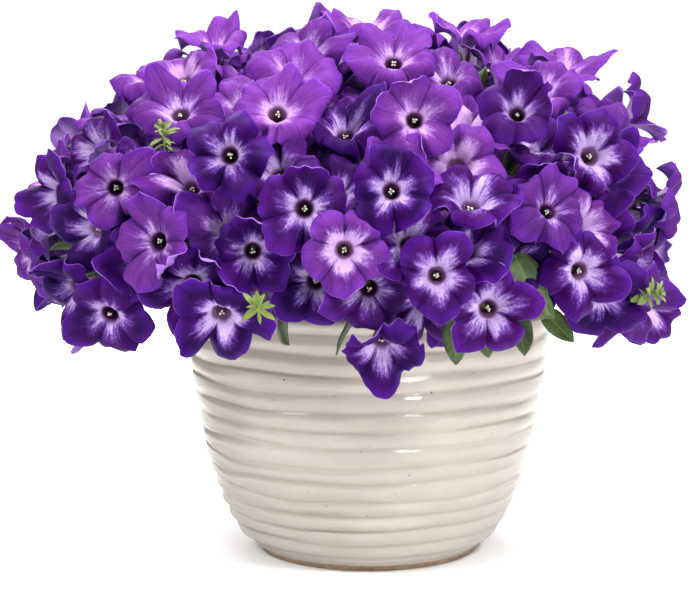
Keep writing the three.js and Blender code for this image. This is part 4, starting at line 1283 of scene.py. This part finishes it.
# The young tips among the picked leaves: the pixel, how far they stand out, and how wide
# their blades are beside their length.
SHOOTS = [(262, 299, 9, 0.28), (252, 306, 9, 0.28), (272, 312, 9, 0.28), (166, 128, 9, 0.3),
          (170, 136, 9, 0.3), (132, 70, 9, 0.3), (642, 306, 20, 0.44), (632, 282, 20, 0.44)]
SHOOT_FORM = Values(
    rows=8, arch=-0.3, fold=0.3, wave=0.25, waves=8.0, thickness=0.5,
    profile=lambda t: math.sin(math.pi * min(1.0, t * 0.93 + 0.05) ** 1.15) ** 0.65,
)
LEAF_FORM = Values(
    rows=10, arch=-0.12, fold=0.24, wave=0.7, waves=9.0, thickness=0.7,
    profile=lambda t: math.sin(math.pi * min(1.0, t * 0.97 + 0.03) ** 0.82) ** 0.62,
)


def stem_wood(stem, number, shape):
    """A stem: its trunk out of the soil, the knot of its fork, and a branch to every spray."""
    draw = draws(8000 + number)
    top = np.array([stem.foot[0], stem.foot[1], SOIL.top + 6.0])
    rise = unit(stem.fork - top)
    path = [stem.foot, mix(stem.foot, top, 0.5), *bent_path(top, UP, stem.fork, rise, 9)]
    radii = [STEM.radius] * 4 + [2.9, 2.8, 2.8, 2.9, 3.4, 4.2, 3.6]
    tube(shape, path, radii, 10, 0, (0.2, 0.5, 0.0))
    for spray in stem.sprays:
        bend = np.array([draw() - 0.5, draw() - 0.5, 0.3 * draw()]) * 0.5
        path = bent_path(stem.fork, unit(spray.way + bend), spray.node + spray.way, spray.way, 12)
        radii = [2.3] + [STEM.branch_radius * mix(1.05, 0.85, i / 8) for i in range(8)]
        tube(shape, path, radii + [2.6, 3.3, 1.8], 8, 0, (0.2, 0.5, 0.1))


def grown_leaf(leaf, shape, slot, tone):
    """A leaf of the plan, on its stalk."""
    way, _, over, length, half = blade_frame(leaf)
    path = bent_path(leaf.root, unit(leaf.base - leaf.root), leaf.base + way * 2, way, 6)
    tube(shape, path, [1.2, 1.0, 0.9, 0.9, 1.0, 0.6], 6, slot, (0.1, 0.0, tone))
    blade(shape, leaf.base, way, over, 0.9 * length, 2.1 * half, LEAF_FORM, slot, tone)


def shoot(leaf, shape):
    """A young leafy tip in a leaf's place: a thin stalk and small leaves in whorls."""
    draw = draws(math.floor(10 * leaf.tip[0]) % 1000)
    way, _, _, length, _ = blade_frame(leaf)
    outward = mound_normal(leaf.tip)
    axis = unit(way * 0.9 + outward)
    side, over = cross_axes(axis)
    top = leaf.tip + outward * leaf.shoot
    base = top - axis * (0.8 * length)
    path = bent_path(leaf.root, unit(base - leaf.root), base, axis, 6)
    tube(shape, [*path, top - axis * 2], [1.1, 1.0, 0.9, 0.9, 0.9, 0.8, 0.5], 6, 0, (0.1, 0.0, 0.6))
    for count, depth, size, spread in ((3, 0.44, 0.3, 85), (4, 0.3, 0.36, 72), (5, 0.18, 0.34, 55),
                                       (5, 0.09, 0.28, 36), (4, 0.03, 0.18, 14)):
        for k in range(count):
            turn = FULL_TURN * ((k + 0.5 * draw()) / count + depth)
            out = side * math.cos(turn) + over * math.sin(turn)
            lean = math.radians(spread + 34 * (draw() - 0.5))
            rise = unit(axis * math.cos(lean) + out * math.sin(lean))
            face = unit(axis * math.sin(lean) - out * math.cos(lean))
            reach = size * length * mix(0.75, 1.2, draw())
            root = top - axis * ((depth + 0.06 * draw()) * length)
            blade(shape, root, rise, face, reach, leaf.width * reach, SHOOT_FORM, 0,
                  mix(0.4, 0.95, draw()))
            hairs(shape, hair_spots([root, root + rise * (0.8 * reach)], 0.4, 8, draw))


SHADE = Values(
    shares=(0.55, 0.8, 0.97, 0.99), tries=5, stalk=6, shortest=24, longest=38,
    inside=0.97, lowest=186,
)


def shade_leaves(stems, sites):
    """Leaves low among the stalks, between the blooms and the wood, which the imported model
    doesn't have. They are kept where none of their samples is in a bloom."""
    grown = []
    draw = draws(4242)
    for stem in stems:
        for spray in stem.sprays:
            for share in SHADE.shares:
                root = mix(stem.fork, spray.node, share)
                for _ in range(SHADE.tries):
                    turn = draw() * FULL_TURN
                    across, _ = cross_axes(spray.way, turn)
                    way = unit(across + spray.way * mix(0.3, 1.3, draw()) + UP * 0.2)
                    length = mix(SHADE.shortest, SHADE.longest, draw())
                    leaf = Values(root=root, base=root + way * SHADE.stalk,
                                  tip=root + way * (SHADE.stalk + length))
                    leaf.normal = unit(mound_normal(leaf.tip) + across * 0.6 * (draw() - 0.5))
                    leaf.samples = leaf_samples(leaf)
                    near = [site for site in sites if distance(site.throat, leaf.tip) < 70]
                    hits = sum(crossed(leaf.samples, site) for site in near)
                    held = mound_share(leaf.tip) < SHADE.inside and leaf.tip[2] > SHADE.lowest
                    if hits == 0 and held:
                        grown.append((stem, leaf))
                        break
    return grown


# ------------------------------------------------------------------ the studio

# The name, place in metres, size in metres and power in watts of each light.
LIGHTS = (
    ("key", (1.2, -1.5, 1.8), 0.55, 44),
    ("fill", (-1.5, -1.1, 1.55), 0.8, 41),
    ("top", (0.3, 0.1, 2.2), 1.0, 58),
    ("side", (1.6, -0.3, 1.9), 0.8, 14),
    ("back", (-0.6, 1.8, 1.5), 1.2, 24),
    ("gloss", (0.78, -1.62, 0.42), 0.36, 9),
)
LIGHTS_AIM = (0, 0, 0.2)
FLOOR_REACH = 30.0
# For the camera alone the floor glows: from the first distance to the middle, in metres, and in
# full from the second. The world is a dim light, and white where the camera sees it.
FLOOR_GLOW = (0.075, 0.2)
WORLD = Values(light=0.15, seen=1.0)


def make_camera():
    data = bpy.data.cameras.new("camera")
    data.sensor_width = 36
    data.lens = data.sensor_width * VIEW.distance / VIEW.width
    camera = add_object("camera", data)
    camera.location = VIEW.eye * MM
    toward = Vector((VIEW.target - VIEW.eye) * MM)
    camera.rotation_euler = toward.to_track_quat("-Z", "Y").to_euler()
    bpy.context.scene.camera = camera


def area_light(name, place, size, power):
    data = bpy.data.lights.new(name, "AREA")
    data.shape = "SQUARE"
    data.size = size
    data.energy = power
    light = add_object(name, data)
    light.location = place
    light.rotation_euler = (Vector(LIGHTS_AIM) - Vector(place)).to_track_quat("-Z", "Y").to_euler()


def make_studio():
    """A white floor under soft light from the front, above and the right, and less behind."""
    mesh = bpy.data.meshes.new("floor")
    corners = [(x * FLOOR_REACH, y * FLOOR_REACH, 0) for x, y in ((-1, -1), (1, -1), (1, 1), (-1, 1))]
    mesh.from_pydata(corners, [], [(0, 1, 2, 3)])
    floor = add_object("floor", mesh)
    finish = Finish("floor", 0.9, {"Specular IOR Level": 0.1, "Emission Color": (1, 1, 1, 1)})
    grain = finish.noise(finish.here(), 3, 2)
    finish.colour(finish.mix(grain, (0.86, 0.86, 0.86, 1), (0.9, 0.9, 0.9, 1)))
    far = finish.node("ShaderNodeVectorMath", {0: finish.here()}, operation="LENGTH").outputs[1]
    seen = finish.node("ShaderNodeLightPath", {}).outputs["Is Camera Ray"]
    glow = finish.math("MULTIPLY", seen, finish.step(far, *FLOOR_GLOW))
    finish.tree.links.new(glow, finish.shader.inputs["Emission Strength"])
    mesh.materials.append(finish.material)
    for light in LIGHTS:
        area_light(*light)
    world = bpy.data.worlds.new("studio")
    world.use_nodes = True
    tree = world.node_tree
    seen = tree.nodes.new("ShaderNodeLightPath").outputs["Is Camera Ray"]
    strength = tree.nodes.new("ShaderNodeMapRange")
    strength.inputs["To Min"].default_value = WORLD.light
    strength.inputs["To Max"].default_value = WORLD.seen
    tree.links.new(seen, strength.inputs["Value"])
    tree.links.new(strength.outputs[0], tree.nodes["Background"].inputs["Strength"])
    tree.nodes["Background"].inputs["Color"].default_value = (1, 1, 1, 1)
    bpy.context.scene.world = world
    bpy.context.scene.view_settings.view_transform = "Standard"


# ------------------------------------------------------------------ the plant in its pot


def shape_blooms(blooms):
    """Shapes every bloom's petals, bends each clear of the ones before it, and rolls them."""
    def near(site, others):
        return [other for other in others
                if other is not site and distance(other.throat, site.throat) < PLACING.reach]

    for number, site in enumerate(blooms, start=1):
        shape_corolla(site, number)
        press_clear(site, near(site, blooms[:number - 1]))
    for number, site in enumerate(blooms, start=1):
        roll_lobes(site, number)
    for site in blooms:
        site.cut = tube_cut(site, near(site, blooms))


def dress_stem(stem, number, leaves, shaded):
    """The pieces of one stem: its wood, and its leaves with those in the shade."""
    node = f"leafy_stem_{number:02d}"
    wood, foliage = Shape(), Shape()
    stem_wood(stem, number, wood)
    make_piece(f"stem_wood_{number:02d}", wood, [STEM_GREEN], "leaf", node)
    for leaf in leaves:
        if leaf.stem is stem and leaf.shoot:
            shoot(leaf, foliage)
        elif leaf.stem is stem:
            grown_leaf(leaf, foliage, 0, 0.08)
    for owner, leaf in shaded:
        if owner is stem:
            grown_leaf(leaf, foliage, 0, 0.0)
    make_piece(f"leaves_{number:02d}", foliage, [LEAF_GREEN], "leaf", node)


def dress_spray(spray, number, first_bloom):
    """The pieces of one spray: its petals, its green parts, and what stands in the throats."""
    tag = f"{number:02d}"
    node = f"blooms_{tag}"
    petals, green, hearts = Shape(), Shape(), Shape()
    for bloom_number, site in enumerate(spray.blooms, start=first_bloom):
        corolla(site, bloom_number, petals)
        anthers(site, bloom_number, hearts)
        draw = draws(9000 + bloom_number)
        calyx(site, green, draw)
        stalk(site, spray, green, draw)
    piece = make_piece(f"petals_{tag}", petals, [PETAL, PETAL_BACK], "petal", node)
    skin = piece.modifiers.new("thickness", "SOLIDIFY")
    skin.thickness = PETAL_THICKNESS
    skin.offset = -1
    skin.material_offset = 1
    skin.material_offset_rim = 1
    make_piece(f"calyces_{tag}", green, [CALYX], "leaf", node)
    make_piece(f"anthers_{tag}", hearts, [ANTHER, THREAD, STIGMA], "petal", node)


make_camera()
make_studio()

PETAL = petal_finish()
PETAL_BACK = petal_back_finish()
CALYX = green_finish("calyx_green", srgb(70, 84, 34), srgb(104, 120, 50), srgb(140, 150, 84))
STEM_GREEN = green_finish("stem_green", srgb(74, 82, 38), srgb(110, 118, 56), srgb(140, 142, 84))
LEAF_GREEN = green_finish("leaf_green", srgb(30, 50, 16), srgb(58, 88, 30), srgb(142, 160, 62))
ANTHER = plain_finish("anther", srgb(180, 176, 160), srgb(228, 226, 214), 900, 0.6, 0.0002)
THREAD = plain_finish("thread", srgb(40, 14, 44), srgb(72, 30, 78), 700, 0.6, 0.0001)
STIGMA = plain_finish("stigma", srgb(120, 132, 50), srgb(164, 172, 92), 900, 0.5, 0.0002)
GLAZE = glaze_finish()
CLAY = plain_finish("clay", srgb(140, 116, 94), srgb(170, 145, 120), 160, 0.9, 0.0006)
SOIL_DARK = plain_finish("soil", srgb(34, 26, 20), srgb(66, 50, 38), 90, 0.95, 0.0015)
BARK = plain_finish("bark", srgb(54, 40, 30), srgb(98, 76, 56), 140, 0.9, 0.001)

sites = bloom_sites()
stems = plan_stems(sites)
leaves = plan_leaves(sites, stems)

cut_drains(make_piece("pot_glazed", pot_shape(), [GLAZE, CLAY], "glaze", "pot"))
make_piece("soil_bed", soil_shape(), [SOIL_DARK], "soil", "soil")
make_piece("soil_crumbs", crumb_shape(), [BARK], "soil")

for leaf in leaves:
    leaf.shoot, leaf.width = max((out, width) if distance(leaf.tip, mound_point(px, py)) < 12
                                 else (0, 0) for px, py, out, width in SHOOTS)
under = under_blooms(sites, leaves)
shaded = shade_leaves(stems, sites + under)
sprays = [spray for stem in stems for spray in stem.sprays]
for site in under:
    nearest = min(sprays, key=lambda spray: distance(spray.node, neck_of(site)))
    nearest.blooms.append(site)
shape_blooms(sites + under)
spray_number = bloom_number = 0
for stem_number, stem in enumerate(stems, start=1):
    dress_stem(stem, stem_number, leaves, shaded)
    for spray in stem.sprays:
        spray_number += 1
        dress_spray(spray, spray_number, bloom_number + 1)
        bloom_number += len(spray.blooms)
